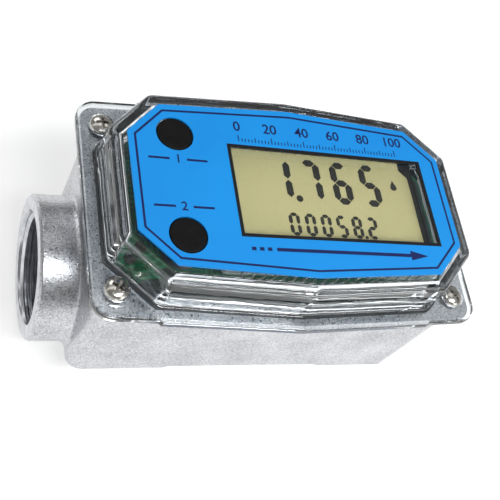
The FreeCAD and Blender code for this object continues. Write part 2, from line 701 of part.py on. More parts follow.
def turbine_rotor():
    """Rotor: hub with chamfered ends and twisted blades."""
    tip = THROAT_RADIUS - BLADE_TIP_CLEARANCE
    root = ROTOR_HUB_RADIUS - BLADE_THICKNESS
    xs = [BLADE_HALF_LENGTH * (2 * i / BLADE_STATIONS - 1) for i in range(BLADE_STATIONS + 1)]
    blade = Part.makeLoft([blade_section(x, root, tip) for x in xs], True, True)

    half, radius, edge = ROTOR_HUB_HALF_LENGTH, ROTOR_HUB_RADIUS, ROTOR_HUB_CHAMFER
    hub = revolve_flow([(-half, 0), (-half, radius - edge), (-half + edge, radius),
                        (half - edge, radius), (half, radius - edge), (half, 0)])
    blades = []
    for number in range(BLADE_COUNT):
        copy = blade.copy()
        copy.rotate(Vec(0, 0, AXIS_Z), X_AXIS, 360 * number / BLADE_COUNT)
        blades.append(copy)
    rotor = hub.fuse(blades)
    return rotor.cut(flow_rod(SHAFT_RADIUS, (-half - 1, half + 1)))


def rotor_shaft():
    """Steel shaft pressed through the rotor hub."""
    return flow_rod(SHAFT_RADIUS, (-SHAFT_HALF_LENGTH, SHAFT_HALF_LENGTH))


def support():
    """Right-hand rotor support: ring, straight vanes and a hub with a round nose."""
    inner_x, start, end = SUPPORT_INNER_X, THROAT_HALF_LENGTH, SUPPORT_OUTER_X
    ring_radius = CHAMBER_RADIUS - SUPPORT_GAP
    x = (start, end)
    ring = flow_rod(ring_radius, x).cut(flow_rod(ring_radius - SUPPORT_RING_WALL, x))
    nose = []
    for step in range(1, NOSE_STEPS + 1):
        angle = math.pi / 2 * step / NOSE_STEPS
        nose.append((end + SUPPORT_NOSE_LENGTH * math.sin(angle), SUPPORT_HUB_RADIUS * math.cos(angle)))
    nose[-1] = (end + SUPPORT_NOSE_LENGTH, 0)
    hub = revolve_flow([(inner_x, 0), (inner_x, SUPPORT_HUB_RADIUS), (end, SUPPORT_HUB_RADIUS), *nose])
    vanes = []
    for number in range(VANE_COUNT):
        vane = block(x, (-VANE_THICKNESS / 2, VANE_THICKNESS / 2),
                     (AXIS_Z + SUPPORT_HUB_RADIUS / 2, AXIS_Z + ring_radius - SUPPORT_RING_WALL / 2))
        vane.rotate(Vec(0, 0, AXIS_Z), X_AXIS, 360 * number / VANE_COUNT + 45)
        vanes.append(vane)
    seat = flow_rod(BEARING_RADIUS + SUPPORT_GAP, (inner_x - 1, inner_x + BEARING_LENGTH))
    return union([hub, ring, *vanes]).cut(seat)


def bearing():
    """Right-hand flanged bearing bush."""
    start = SUPPORT_INNER_X - BEARING_FLANGE_THICKNESS
    bush = union([
        flow_rod(BEARING_FLANGE_RADIUS, (start, SUPPORT_INNER_X)),
        flow_rod(BEARING_RADIUS, (start, SUPPORT_INNER_X + BEARING_LENGTH)),
    ])
    through = (start - 1, SUPPORT_INNER_X + BEARING_LENGTH + 1)
    return bush.cut(flow_rod(SHAFT_RADIUS + SHAFT_CLEARANCE, through))


def retaining_ring():
    """Right-hand snap ring with an opening and a lug at each end."""
    x = (RING_GROOVE_X + SUPPORT_GAP, RING_GROOVE_X + RING_THICKNESS)
    outer = CHAMBER_RADIUS + RING_GROOVE_DEPTH - SUPPORT_GAP
    inner = outer - RING_WIDTH
    ring = flow_rod(outer, x).cut(flow_rod(inner, x))
    half = math.radians(RING_OPENING_DEG / 2)
    far_y, drop = 2 * outer * math.sin(half), 2 * outer * math.cos(half)
    wedge = polygon([Vec(x[0] - 1, 0, AXIS_Z), Vec(x[0] - 1, -far_y, AXIS_Z - drop),
                     Vec(x[0] - 1, far_y, AXIS_Z - drop)])
    ring = ring.cut(Part.Face(wedge).extrude(Vec(RING_THICKNESS + 2, 0, 0)))
    lug_turn = half + RING_LUG_RADIUS / inner
    shapes = [ring]
    for side in (1, -1):
        centre = Vec(x[0], side * inner * math.sin(lug_turn), AXIS_Z - inner * math.cos(lug_turn))
        shapes.append(Part.makeCylinder(RING_LUG_RADIUS, x[1] - x[0], centre, X_AXIS))
    return union(shapes)


# ---------------------------------------------------------------- all nodes


def as_shape(solids):
    """One shape to export, from a solid or a list of separate solids."""
    return Part.makeCompound(solids) if isinstance(solids, list) else solids


NODES = {
    "meter_body": meter_body(),
    "clear_cover": clear_cover(),
    "cover_gasket": cover_gasket(),
    "cover_screws": cover_screws(),
    "faceplate_label": faceplate_label(),
    "calibrate_button": button(BUTTON_Y["calibrate"]),
    "display_button": button(BUTTON_Y["display"]),
    "calibrate_switch": button_switch(BUTTON_Y["calibrate"]),
    "display_switch": button_switch(BUTTON_Y["display"]),
    "lcd_glass": lcd_glass(),
    "lcd_frame": lcd_frame(),
    "lcd_pins": lcd_pins(),
    "circuit_board": circuit_board(),
    "board_screws": board_screws(),
    "microcontroller": microcontroller(),
    "crystal": crystal(),
    "capacitors": capacitors(),
    "chip_resistors": chip_resistors(),
    "battery_tray": battery_tray(),
    "battery_cells": battery_cells(),
    "battery_contacts": battery_contacts(),
    "pickup_bobbin": pickup_bobbin(),
    "pickup_winding": pickup_winding(),
    "pickup_magnet": pickup_magnet(),
    "pickup_pins": pickup_pins(),
    "turbine_rotor": turbine_rotor(),
    "rotor_shaft": rotor_shaft(),
    "downstream_support": support(),
    "upstream_support": mirror_x(support()),
    "downstream_bearing": bearing(),
    "upstream_bearing": mirror_x(bearing()),
    "downstream_ring": retaining_ring(),
    "upstream_ring": mirror_x(retaining_ring()),
}

os.makedirs("parts", exist_ok=True)
for name, solids in NODES.items():
    shape = as_shape(solids)
    shape.exportStep("parts/" + name + ".step")
    print(name, len(shape.Solids), "solids", round(shape.Volume, 1), "mm3")
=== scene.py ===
# %% [markdown]
# # A turbine flow meter, dressed for a render
# The meter is a cast aluminium pipe fitting with a small electronic display on top.
# Its solids are already made in CAD and arrive here as a fixed frame, in metres, with the
# origin under the middle of the meter. Blender adds what CAD leaves out: soft moulded
# edges, printed ink, screw threads, and materials that look like the real ones.

# %% Load the frame
import math

import bmesh
import bpy
from mathutils import Matrix, Vector


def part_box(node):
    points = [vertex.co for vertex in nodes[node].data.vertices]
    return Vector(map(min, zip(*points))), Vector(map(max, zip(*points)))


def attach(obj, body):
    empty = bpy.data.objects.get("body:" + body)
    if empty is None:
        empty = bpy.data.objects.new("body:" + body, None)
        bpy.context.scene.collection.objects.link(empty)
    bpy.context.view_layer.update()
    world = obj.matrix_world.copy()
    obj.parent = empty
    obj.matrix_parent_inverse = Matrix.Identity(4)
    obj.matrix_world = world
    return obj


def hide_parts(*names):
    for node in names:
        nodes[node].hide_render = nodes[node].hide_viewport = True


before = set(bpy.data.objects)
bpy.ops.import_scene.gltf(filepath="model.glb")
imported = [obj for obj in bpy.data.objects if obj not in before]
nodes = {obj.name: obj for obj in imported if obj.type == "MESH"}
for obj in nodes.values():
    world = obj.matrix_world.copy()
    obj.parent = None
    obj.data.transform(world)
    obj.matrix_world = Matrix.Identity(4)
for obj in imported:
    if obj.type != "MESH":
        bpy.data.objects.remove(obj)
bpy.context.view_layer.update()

MM = 0.001

# %% [markdown]
# ## Sizes that the CAD nodes give
# A piece goes where the CAD says, so the sizes that matter are read from the boxes of the
# nodes instead of being typed in again. Only what a box can't tell is written as a number.
# The clear cover stays a hair off the metal and the label: where glass and metal share one
# plane, light can miss the metal and the joint turns black.

# %% Read the boxes
HAIR_GAP = 0.05 * MM

cover_low, cover_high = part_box("clear_cover")
label_low, label_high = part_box("faceplate_label")
rotor_low, rotor_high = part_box("turbine_rotor")
LABEL_Z = label_high.z
DECK_Z = cover_high.z - HAIR_GAP
RIM_Z = cover_low.z + HAIR_GAP
AXIS_Z = (rotor_low.z + rotor_high.z) / 2
print("label %.1f x %.1f mm" % (2 * label_high.x / MM, 2 * label_high.y / MM))
print("flow axis %.1f mm up, label %.1f mm up" % (AXIS_Z / MM, LABEL_Z / MM))

# %% [markdown]
# ## Colour and nodes
# Colours are picked as sRGB hex values, the way a paint chart gives them, and Blender works
# in linear light, so one function converts. Another adds a node with its settings and its
# links. Every material is written with it in the same order: pattern, colour, shader, output.


# %% Colour and node helpers
def srgb(code):
    """Linear colour from a hex value such as 'b0b3b8'."""
    channels = [int(code[i:i + 2], 16) / 255 for i in (0, 2, 4)]
    linear = [c / 12.92 if c <= 0.04045 else ((c + 0.055) / 1.055) ** 2.4 for c in channels]
    return (*linear, 1.0)


def add(tree, kind, inputs=None, **settings):
    """Add one shader node; an input takes a value, a socket, or a node for its first live output."""
    made = tree.nodes.new("ShaderNode" + kind)
    for name, value in settings.items():
        setattr(made, name, value)
    for name, value in (inputs or {}).items():
        if isinstance(value, bpy.types.Node):
            value = next(socket for socket in value.outputs if socket.enabled)
        if isinstance(value, bpy.types.NodeSocket):
            tree.links.new(value, made.inputs[name])
        else:
            made.inputs[name].default_value = value
    return made


def start_material(name):
    """New material, its empty node tree, and the place of each point on a piece, in metres."""
    made = bpy.data.materials.new(name)
    made.use_nodes = True
    made.node_tree.nodes.clear()
    return made, made.node_tree, add(made.node_tree, "TexCoord").outputs["Object"]


print("0.5 grey in linear light: %.3f" % srgb("808080")[0])

# %% [markdown]
# ## Patterns with a real size
# No surface is the same all over: castings are grainy, plastics drift a little in shade.
# Noise gives that unevenness. Its scale is worked out from the width of one patch in
# millimetres, and its middle half is stretched between two values, because the far ends of
# noise are hardly ever reached.


# %% Uneven patterns and the finishes that need no more
def per_metre(size_mm):
    """Texture scale at which one feature is about size_mm wide."""
    return 1 / (size_mm * MM)


def mottle(tree, place, patch_mm, low=0.0, high=1.0, detail=2.0):
    """Uneven pattern with patches of a real size, between two values."""
    noise = add(tree, "TexNoise", {"Vector": place, "Scale": per_metre(patch_mm), "Detail": detail})
    return add(tree, "MapRange", {"Value": noise, "From Min": 0.25, "From Max": 0.75,
                                  "To Min": low, "To Max": high})


def plain_finish(name, dark, light, patch_mm, grain_mm=None, depth_mm=None, **values):
    """Material that drifts between two colours, with a grain of a real width and depth."""
    made, tree, place = start_material(name)
    inputs = {key.replace("_", " "): value for key, value in values.items()}
    inputs["Base Color"] = add(tree, "Mix", {"Factor": mottle(tree, place, patch_mm), "A": srgb(dark),
                                             "B": srgb(light)}, data_type="RGBA")
    if grain_mm:
        grain = mottle(tree, place, grain_mm)
        inputs["Normal"] = add(tree, "Bump", {"Height": grain, "Distance": depth_mm * MM})
    add(tree, "OutputMaterial", {"Surface": add(tree, "BsdfPrincipled", inputs)})
    return made


print("a 0.4 mm grain has a texture scale of", per_metre(0.4))

# %% [markdown]
# ## Cast aluminium, blasted
# The housing is sand cast and shot blasted, which leaves a skin of tiny dents. To the eye
# it is a soft grey metal with sparkling grain and a broad dull highlight. The real grit is
# about 0.2 mm, which is near the limit of what a render shows, so it is drawn at 0.4 mm.
# Wide clouds in the shade keep the large walls from looking printed.

# %% Blasted cast aluminium
CAST_GRAIN_MM = 0.4
CAST_DENT_MM = 0.034
CAST_CLOUD_MM = 9.0
CAST_WORN_MM = 0.8

cast_aluminium, tree, place = start_material("blasted_cast_aluminium")
grain = mottle(tree, place, CAST_GRAIN_MM, detail=1.0)
shade = add(tree, "Mix", {"Factor": 0.3, "A": grain, "B": mottle(tree, place, CAST_CLOUD_MM)})
metal = add(tree, "Mix", {"Factor": shade, "A": srgb("86878c"), "B": srgb("eaebee")}, data_type="RGBA")
dents = add(tree, "Bump", {"Height": grain, "Distance": CAST_DENT_MM * MM})
shader = add(tree, "BsdfPrincipled", {"Base Color": metal, "Metallic": 1.0, "Normal": dents,
                                      "Roughness": mottle(tree, place, CAST_WORN_MM, 0.24, 0.36)})
add(tree, "OutputMaterial", {"Surface": shader})
print("material:", cast_aluminium.name)

# %% [markdown]
# ## Turned aluminium
# The port faces and bores are cut on a lathe after casting. The tool leaves rings round the
# flow axis, which pull a highlight into a bright fan. The rings come from the distance to
# the axis, so they follow the lathe on every face, and the distance along the axis counts a
# little too, so that a bore shows marks as well. Real feed marks are about 0.1 mm apart and
# are drawn at 0.25 mm to show.

# %% Turned aluminium
TOOL_MARK_MM = 0.25
TOOL_DEPTH_MM = 0.006
ALONG_SHARE = 0.35

turned_aluminium, tree, place = start_material("turned_aluminium")
centred = add(tree, "VectorMath", {0: place, 1: (0, 0, -AXIS_Z)}, operation="ADD")
flat = add(tree, "VectorMath", {0: centred, 1: (ALONG_SHARE, 1, 1)}, operation="MULTIPLY")
reach = add(tree, "VectorMath", {0: flat}, operation="LENGTH")
turns = add(tree, "Math", {0: reach, 1: per_metre(TOOL_MARK_MM) * math.tau}, operation="MULTIPLY")
marks = add(tree, "Math", {0: turns}, operation="SINE")
metal = add(tree, "Mix", {"Factor": mottle(tree, place, 2.5), "A": srgb("b9bbc0"), "B": srgb("dcdee2")},
            data_type="RGBA")
shader = add(tree, "BsdfPrincipled", {
    "Base Color": metal, "Metallic": 1.0, "Roughness": 0.24,
    "Normal": add(tree, "Bump", {"Height": marks, "Distance": TOOL_DEPTH_MM * MM})})
add(tree, "OutputMaterial", {"Surface": shader})
print("material:", turned_aluminium.name)

# %% [markdown]
# ## Clear polycarbonate
# The cover is injection moulded, polished and thick. Glass-clear plastic shows itself only
# by bending what lies behind it and by mirror-like edges, so the shader is all transmission
# with an IOR of 1.585. A flow ripple, about 7 mm long, keeps reflections from being
# perfect. Light passes through to the parts inside: shadow rays see it as transparent.

# %% Clear polycarbonate
RIPPLE_MM = 7.0
RIPPLE_DEPTH_MM = 0.05

clear_polycarbonate, tree, place = start_material("clear_polycarbonate")
ripple = add(tree, "Bump", {"Height": mottle(tree, place, RIPPLE_MM, detail=1.0),
                            "Distance": RIPPLE_DEPTH_MM * MM})
shader = add(tree, "BsdfPrincipled", {"Base Color": srgb("f4f8fa"), "Roughness": 0.02, "IOR": 1.585,
                                      "Transmission Weight": 1.0, "Normal": ripple})
in_shadow = add(tree, "LightPath").outputs["Is Shadow Ray"]
see_through = add(tree, "BsdfTransparent", {"Color": srgb("f0f4f6")})
passing = add(tree, "MixShader", {0: in_shadow, 1: shader, 2: see_through})
add(tree, "OutputMaterial", {"Surface": passing})
print("material:", clear_polycarbonate.name)

# %% [markdown]
# ## Rubber, moulded plastic and printed film
# Rubber is nearly black and swallows light. Nitrile is used where a seal must resist fuel,
# and silicone where a finger presses. Black ABS is smoother and a little brighter at a
# glancing angle. The label is a polyester film, printed on the back and slightly textured
# on the front. Each of them drifts in shade and has one grain, so one function serves all.

# %% Rubber, black moulding and label film
# Moulded nitrile: dull black with an orange-peel skin.
gasket_rubber = plain_finish("nitrile_gasket_rubber", "0c0c0d", "17171a", patch_mm=3.0, grain_mm=0.5,
                             depth_mm=0.01, Roughness=0.55, IOR=1.52, Specular_IOR_Level=0.35)
# Moulded silicone: the blackest surface here, with hardly any shine.
button_rubber = plain_finish("silicone_button_rubber", "060607", "0f0f11", patch_mm=1.2, grain_mm=0.3,
                             depth_mm=0.008, Roughness=0.6, IOR=1.43, Specular_IOR_Level=0.2)
# Moulded ABS: black with a soft sheen.
black_moulding = plain_finish("black_abs_moulding", "131416", "1f2023", patch_mm=2.0, grain_mm=0.4,
                              depth_mm=0.008, Roughness=0.38, IOR=1.53)
# Back-printed polyester: an even, strong blue under a satin shine.
label_film = plain_finish("printed_polyester_film", "0488da", "088fe0", patch_mm=14.0, grain_mm=0.35,
                          depth_mm=0.002, Roughness=0.36, IOR=1.57, Specular_IOR_Level=0.35)
print("materials:", len(bpy.data.materials))

# %% [markdown]
# ## Inks and the display
# The navy and black inks lie under the same film as the blue, so they share its shine.
# A reflective display is two panes of glass with a silvered polariser behind them. The
# polariser has a fine grain of about 0.15 mm, drawn at 0.3 mm to show.

# %% Inks, segments and khaki display
# Screen ink: flat dark print with the satin shine of the film over it.
navy_ink = plain_finish("navy_screen_ink", "0a164e", "0f1e5c", patch_mm=1.0, Roughness=0.36,
                        IOR=1.57, Specular_IOR_Level=0.3)
black_ink = plain_finish("black_screen_ink", "08090d", "101218", patch_mm=1.0, Roughness=0.36,
                         IOR=1.57, Specular_IOR_Level=0.3)
# Switched liquid crystal: matt, nearly black, faintly warm.
segment_dark = plain_finish("dark_liquid_crystal", "0e0e0a", "171711", patch_mm=1.0, Roughness=0.4,
                            IOR=1.5, Specular_IOR_Level=0.2)
# Glass over a polariser: flat khaki paper with a faint sheen.
khaki_display = plain_finish("reflective_display_glass", "a69b6c", "b0a576", patch_mm=0.3,
                             Roughness=0.35, IOR=1.5, Specular_IOR_Level=0.3)
print("materials:", len(bpy.data.materials))

# %% [markdown]
# ## Cut glass
# The cut edges of the display show its panes one on top of the other, each about 1.1 mm
# thick and grey-green like window glass. Height is cut into equal steps, and each step is
# painted from dark to light: painted shade for the way light fades inside a pane.

# %% Cut edge of the display glass
PANE_MM = 1.1

glass_edge, tree, place = start_material("cut_glass_edge")
height = add(tree, "SeparateXYZ", {"Vector": place}).outputs["Z"]
stack = add(tree, "Math", {0: height, 1: per_metre(PANE_MM)}, operation="MULTIPLY")
# Each pane's colour is painted from dark to light: painted shade, not a tint of the glass.
painted_pane_shade = add(tree, "Math", {0: stack}, operation="FRACT")
colour = add(tree, "Mix", {"Factor": painted_pane_shade, "A": srgb("59645f"), "B": srgb("8f9b95")}, data_type="RGBA")
shader = add(tree, "BsdfPrincipled", {"Base Color": colour, "Roughness": 0.15, "IOR": 1.5})
add(tree, "OutputMaterial", {"Surface": shader})
print("material:", glass_edge.name)

# %% [markdown]
# ## Circuit board
# Glass-epoxy laminate under green solder mask. Copper tracks about 0.4 mm wide lie under
# the mask and lift it slightly, which reads as lighter green lines. Two sets of stripes,
# one along each axis, are cut up by a coarse cell pattern so that they look routed. The
# outer 3 mm along the two bowed edges is painted nearly black: painted shade for the dark
# inside of the housing along its walls.

# %% Tracks that look routed
TRACK_PITCH_MM = 1.27
TRACK_SHARE = 0.35
ROUTED_PATCH_MM = 7.0
TRACK_DEPTH_MM = 0.035

green_board, tree, place = start_material("green_solder_mask")
across = add(tree, "SeparateXYZ", {"Vector": place})
stripes = []
for axis in ("X", "Y"):
    count = add(tree, "Math", {0: across.outputs[axis], 1: per_metre(TRACK_PITCH_MM)}, operation="MULTIPLY")
    phase = add(tree, "Math", {0: count}, operation="FRACT")
    stripes.append(add(tree, "Math", {0: phase, 1: TRACK_SHARE}, operation="LESS_THAN"))
patches = add(tree, "TexVoronoi", {"Vector": place, "Scale": per_metre(ROUTED_PATCH_MM)})
chance = add(tree, "SeparateColor", {"Color": patches.outputs["Color"]}).outputs["Red"]
pick = add(tree, "Math", {0: chance, 1: 0.5}, operation="LESS_THAN")
tracks = add(tree, "Mix", {"Factor": pick, "A": stripes[0], "B": stripes[1]})
masked = add(tree, "Mix", {"Factor": tracks, "A": srgb("0a4428"), "B": srgb("17643f")}, data_type="RGBA")
print("tracks %.2f mm wide" % (TRACK_SHARE * TRACK_PITCH_MM))

# %% Painted shade along the bowed edges
EDGE_SLOPE = 0.06
SHADE_MARGIN_WIDTH = 2.9 * MM

board_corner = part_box("circuit_board")[1]
out_x = add(tree, "Math", {0: across.outputs["X"]}, operation="ABSOLUTE")
out_y = add(tree, "Math", {0: across.outputs["Y"]}, operation="ABSOLUTE")
bowed = add(tree, "Math", {0: out_x, 1: EDGE_SLOPE, 2: out_y}, operation="MULTIPLY_ADD")
painted_shade_margin = add(tree, "Math", {0: bowed, 1: board_corner.y - SHADE_MARGIN_WIDTH}, operation="GREATER_THAN")
# The outer band is painted nearly black: painted shade near the walls of the housing.
board = add(tree, "Mix", {"Factor": painted_shade_margin, "A": masked, "B": srgb("0c1914")}, data_type="RGBA")
shader = add(tree, "BsdfPrincipled", {
    "Base Color": board, "Roughness": 0.28, "IOR": 1.5,
    "Normal": add(tree, "Bump", {"Height": tracks, "Distance": TRACK_DEPTH_MM * MM})})
add(tree, "OutputMaterial", {"Surface": shader})
print("material:", green_board.name)

# %% [markdown]
# ## Bright metals
# Stainless screws are cold headed and tumbled: bright, with faint random scratches. The
# pins are tin plated, a touch softer and warmer. The small cans are drawn aluminium, with
# the even satin of a drawn cup. A metal keeps the default IOR: its colour sets how much it
# reflects.

# %% Screws, pins and cans
stainless_steel, tree, place = start_material("tumbled_stainless_steel")
metal = add(tree, "Mix", {"Factor": mottle(tree, place, 1.0), "A": srgb("b3b0a9"), "B": srgb("dedbd4")},
            data_type="RGBA")
scratches = add(tree, "Bump", {"Height": mottle(tree, place, 0.4), "Distance": 0.008 * MM})
shader = add(tree, "BsdfPrincipled", {"Base Color": metal, "Metallic": 1.0, "Normal": scratches,
                                      "Roughness": mottle(tree, place, 0.5, 0.14, 0.3)})
add(tree, "OutputMaterial", {"Surface": shader})

# Tin plate: pale and bright, but softer than a mirror.
tinned_pins = plain_finish("tin_plated_pins", "bfc0bd", "e2e2de", patch_mm=0.6, grain_mm=0.3,
                           depth_mm=0.006, Metallic=1.0, Roughness=0.3)
# Drawn aluminium: cool grey satin.
drawn_can = plain_finish("drawn_aluminium_can", "a9abb0", "cfd1d6", patch_mm=1.5, grain_mm=0.4,
                         depth_mm=0.006, Metallic=1.0, Roughness=0.3)
print("materials:", len(bpy.data.materials))

# %% [markdown]
# ## Wound copper wire
# The pickup coil is enamelled copper wire in level layers, orange and glossy. Real wire
# here is about 0.1 mm thick. It is drawn at 0.3 mm, as a wave in height, so that the turns
# show as fine rings that catch the light.

# %% Copper winding
WIRE_MM = 0.3
WIRE_DEPTH_MM = 0.03

copper_wire, tree, place = start_material("lacquered_copper_wire")
height = add(tree, "SeparateXYZ", {"Vector": place}).outputs["Z"]
wound = add(tree, "Math", {0: height, 1: per_metre(WIRE_MM) * math.tau}, operation="MULTIPLY")
turns = add(tree, "Bump", {"Height": add(tree, "Math", {0: wound}, operation="SINE"),
                           "Distance": WIRE_DEPTH_MM * MM})
metal = add(tree, "Mix", {"Factor": mottle(tree, place, 1.0), "A": srgb("9c4f22"), "B": srgb("c97a3e")},
            data_type="RGBA")
shader = add(tree, "BsdfPrincipled", {"Base Color": metal, "Metallic": 1.0, "Roughness": 0.25,
                                      "Normal": turns})
add(tree, "OutputMaterial", {"Surface": shader})
print("material:", copper_wire.name)

# %% [markdown]
# ## Parts in the flow, and the cells
# The rotor and its supports are moulded in white acetal, a waxy plastic that lets a little
# light in. The bearings are fired alumina, off-white and hard. The cells have a printed
# film jacket with a shine like a drinks can, dark with a gold band at one end.

# %% Acetal, ceramic and cell jacket
GOLD_FROM = 12 * MM

# Moulded acetal: creamy white, soft at its edges.
white_acetal = plain_finish("white_acetal", "dcdcd4", "ecece6", patch_mm=4.0, grain_mm=0.8,
                            depth_mm=0.01, Roughness=0.35, IOR=1.48, Subsurface_Weight=0.15,
                            Subsurface_Scale=2 * MM)
# Fired alumina: off-white and hard, with a clean highlight.
alumina = plain_finish("fired_alumina", "ddd8c8", "eee9da", patch_mm=0.5, grain_mm=0.3,
                       depth_mm=0.006, Roughness=0.25, IOR=1.76)

cell_jacket, tree, place = start_material("printed_cell_jacket")
along = add(tree, "SeparateXYZ", {"Vector": place}).outputs["X"]
band = add(tree, "Math", {0: along, 1: GOLD_FROM}, operation="GREATER_THAN")
print_colour = add(tree, "Mix", {"Factor": band, "A": srgb("2a2c30"), "B": srgb("b98a3c")}, data_type="RGBA")
shader = add(tree, "BsdfPrincipled", {
    "Base Color": print_colour, "Metallic": 0.3, "Roughness": 0.25, "IOR": 1.55,
    "Normal": add(tree, "Bump", {"Height": mottle(tree, place, 1.5), "Distance": 0.01 * MM})})
add(tree, "OutputMaterial", {"Surface": shader})
print("materials:", len(bpy.data.materials))

# %% [markdown]
# ## Dressing the CAD nodes
# Most inner parts already have their true shape, so they keep their CAD mesh and get a
# material. Flat faces stay crisp and curved ones are shaded smooth wherever two
# neighbouring facets meet at less than 35 degrees. The display shows its khaki face only on
# top, and cut glass on every other side.

# %% Give nodes their materials
SMOOTH_DEG = 35
FACING_UP = 0.9
DRESS = {
    "cover_gasket": gasket_rubber, "faceplate_label": label_film,
    "calibrate_switch": black_moulding, "display_switch": black_moulding,
    "lcd_glass": khaki_display, "lcd_frame": black_moulding, "lcd_pins": tinned_pins,
    "circuit_board": green_board, "board_screws": stainless_steel, "microcontroller": black_moulding,
    "crystal": drawn_can, "capacitors": drawn_can, "chip_resistors": black_moulding,
    "battery_tray": black_moulding, "battery_cells": cell_jacket, "battery_contacts": tinned_pins,
    "pickup_bobbin": black_moulding, "pickup_winding": copper_wire, "pickup_magnet": drawn_can,
    "pickup_pins": tinned_pins, "rotor_shaft": stainless_steel,
    "downstream_support": white_acetal, "upstream_support": white_acetal,
    "downstream_bearing": alumina, "upstream_bearing": alumina,
    "downstream_ring": stainless_steel, "upstream_ring": stainless_steel,
}


def dress(piece, material, sharp_deg=SMOOTH_DEG):
    """One material and smooth shading up to an angle."""
    piece.data.materials.clear()
    piece.data.materials.append(material)
    piece.data.shade_smooth()
    piece.data.set_sharp_from_angle(angle=math.radians(sharp_deg))


for name, material in DRESS.items():
    dress(nodes[name], material)
display = nodes["lcd_glass"].data
display.materials.append(glass_edge)
for face in display.polygons:
    face.material_index = 0 if face.normal.z > FACING_UP else 1
print("dressed nodes:", len(DRESS))

# %% [markdown]
# ## New pieces
# Every new mesh goes through one function that makes the object, gives it its material and
# says which body it rides on. Modifiers are turned into plain mesh at once, so that what is
# measured is what is rendered.


# %% Make a piece
def make_piece(name, shape, material, body="housing", replaces=(), sharp_deg=SMOOTH_DEG):
    """Object from a bmesh, dressed and riding on a body."""
    bmesh.ops.recalc_face_normals(shape, faces=shape.faces)
    data = bpy.data.meshes.new(name)
    shape.to_mesh(data)
    shape.free()
    piece = bpy.data.objects.new(name, data)
    bpy.context.scene.collection.objects.link(piece)
    dress(piece, material, sharp_deg)
    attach(piece, body)
    if replaces:
        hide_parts(*replaces)
    print("%s: %d faces, rides on %s" % (name, len(data.polygons), body))
    return piece


def apply_modifiers(piece):
    """Turn the modifiers of a piece into plain mesh."""
    bpy.context.view_layer.update()
    ready = piece.evaluated_get(bpy.context.evaluated_depsgraph_get())
    mesh = bpy.data.meshes.new_from_object(ready)
    piece.modifiers.clear()
    piece.data = mesh


def settle_normals(piece, sharp_deg=SMOOTH_DEG):
    """Keep large flat faces flat where small round ones run into them."""
    piece.data.shade_smooth()
    piece.data.set_sharp_from_angle(angle=math.radians(sharp_deg))
    even = piece.modifiers.new("even_normals", "WEIGHTED_NORMAL")
    even.keep_sharp = True
    apply_modifiers(piece)


print("curved faces look smooth below %d degrees" % SMOOTH_DEG)

# %% [markdown]
# ## The casting
# A casting has no knife edges. The CAD mesh is copied, its flat triangles are joined into
# whole faces, and a narrow bevel rounds every edge that is sharper than 30 degrees. The
# machined faces, which are those on the ports and in the bores, get the turned finish.

# %% Casting with soft edges
CAST_EDGE = 0.45 * MM
ROUND_ABOVE_DEG = 30
FLAT_DEG = 0.5
WELD_REACH = 0.0001 * MM


def copy_welded(node):
    """Bmesh of a CAD node with its seams closed and flat facets joined."""
    shape = bmesh.new()
    shape.from_mesh(nodes[node].data)
    bmesh.ops.remove_doubles(shape, verts=shape.verts, dist=WELD_REACH)
    bmesh.ops.dissolve_limit(shape, angle_limit=math.radians(FLAT_DEG), verts=shape.verts, edges=shape.edges)
    return shape


casting = make_piece("casting", copy_welded("meter_body"), cast_aluminium,
                     replaces=["meter_body"])
rounding = casting.modifiers.new("cast_edges", "BEVEL")
rounding.width = CAST_EDGE
rounding.segments = 2
rounding.limit_method = "ANGLE"
rounding.angle_limit = math.radians(ROUND_ABOVE_DEG)
rounding.use_clamp_overlap = True
apply_modifiers(casting)
print("casting faces with round edges:", len(casting.data.polygons))

# %% Turned faces on the ports and in the bore
BORE_REACH = 13.7 * MM
FACE_DEPTH = 0.3 * MM
SQUARE_ON = 0.98

port_face_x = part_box("meter_body")[1].x
casting.data.materials.append(turned_aluminium)
for face in casting.data.polygons:
    corners = [casting.data.vertices[i].co for i in face.vertices]
    in_bore = max(math.hypot(p.y, p.z - AXIS_Z) for p in corners) < BORE_REACH
    on_port = abs(face.center.x) > port_face_x - FACE_DEPTH and abs(face.normal.x) > SQUARE_ON
    if in_bore or on_port:
        face.material_index = 1
settle_normals(casting)
print("turned faces:", sum(face.material_index == 1 for face in casting.data.polygons))

# %% [markdown]
# ## Rings and lofts
# Nearly every other piece is a stack of closed rings: a screw is a stack of circles, and the
# cover is a stack of outlines that swell and shrink. A loft joins each ring to the next with
# four-sided faces, which shade evenly and refract cleanly.


# %% Loft rings into a closed shape
def loft(rings, shape=None, capped=True):
    """Join rings of equally many points; both ends are closed unless the loft is a loop."""
    shape = shape or bmesh.new()
    stacks = [[shape.verts.new(point) for point in ring] for ring in rings]
    count = len(stacks[0])
    pairs = list(zip(stacks, stacks[1:]))
    if not capped:
        pairs.append((stacks[-1], stacks[0]))
    for low, high in pairs:
        for i in range(count):
            j = (i + 1) % count
            shape.faces.new((low[i], low[j], high[j], high[i]))
    if capped:
        shape.faces.new(stacks[0])
        shape.faces.new(stacks[-1])
    return shape


def circle(radius, z, centre=(0, 0), count=40):
    """Level ring of points."""
    turn = math.tau / count
    return [Vector((centre[0] + radius * math.cos(i * turn), centre[1] + radius * math.sin(i * turn), z))
            for i in range(count)]


def turned(profile, centre=(0, 0), count=40, shape=None):
    """Solid of revolution round an upright axis, from (radius, height) pairs in metres."""
    return loft([circle(radius, z, centre, count) for radius, z in profile], shape)


def quarter_turn(steps):
    """Sine and cosine pairs over a quarter circle."""
    return [(math.sin(math.pi / 2 * i / steps), math.cos(math.pi / 2 * i / steps)) for i in range(steps + 1)]


print("points on a circle:", len(circle(MM, 0)))

# %% [markdown]
# ## The port threads
# Both ports are tapped for 3/4 inch pipe, 14 threads to the inch, so each thread is a ridge
# that winds inward from the bore with a pitch of 1.814 mm. It could be faked with a bump,
# but the mouth is open to view, so it is real: a small flat-topped ridge carried along a
# helix, which grows from nothing and dies away over a third of a turn.

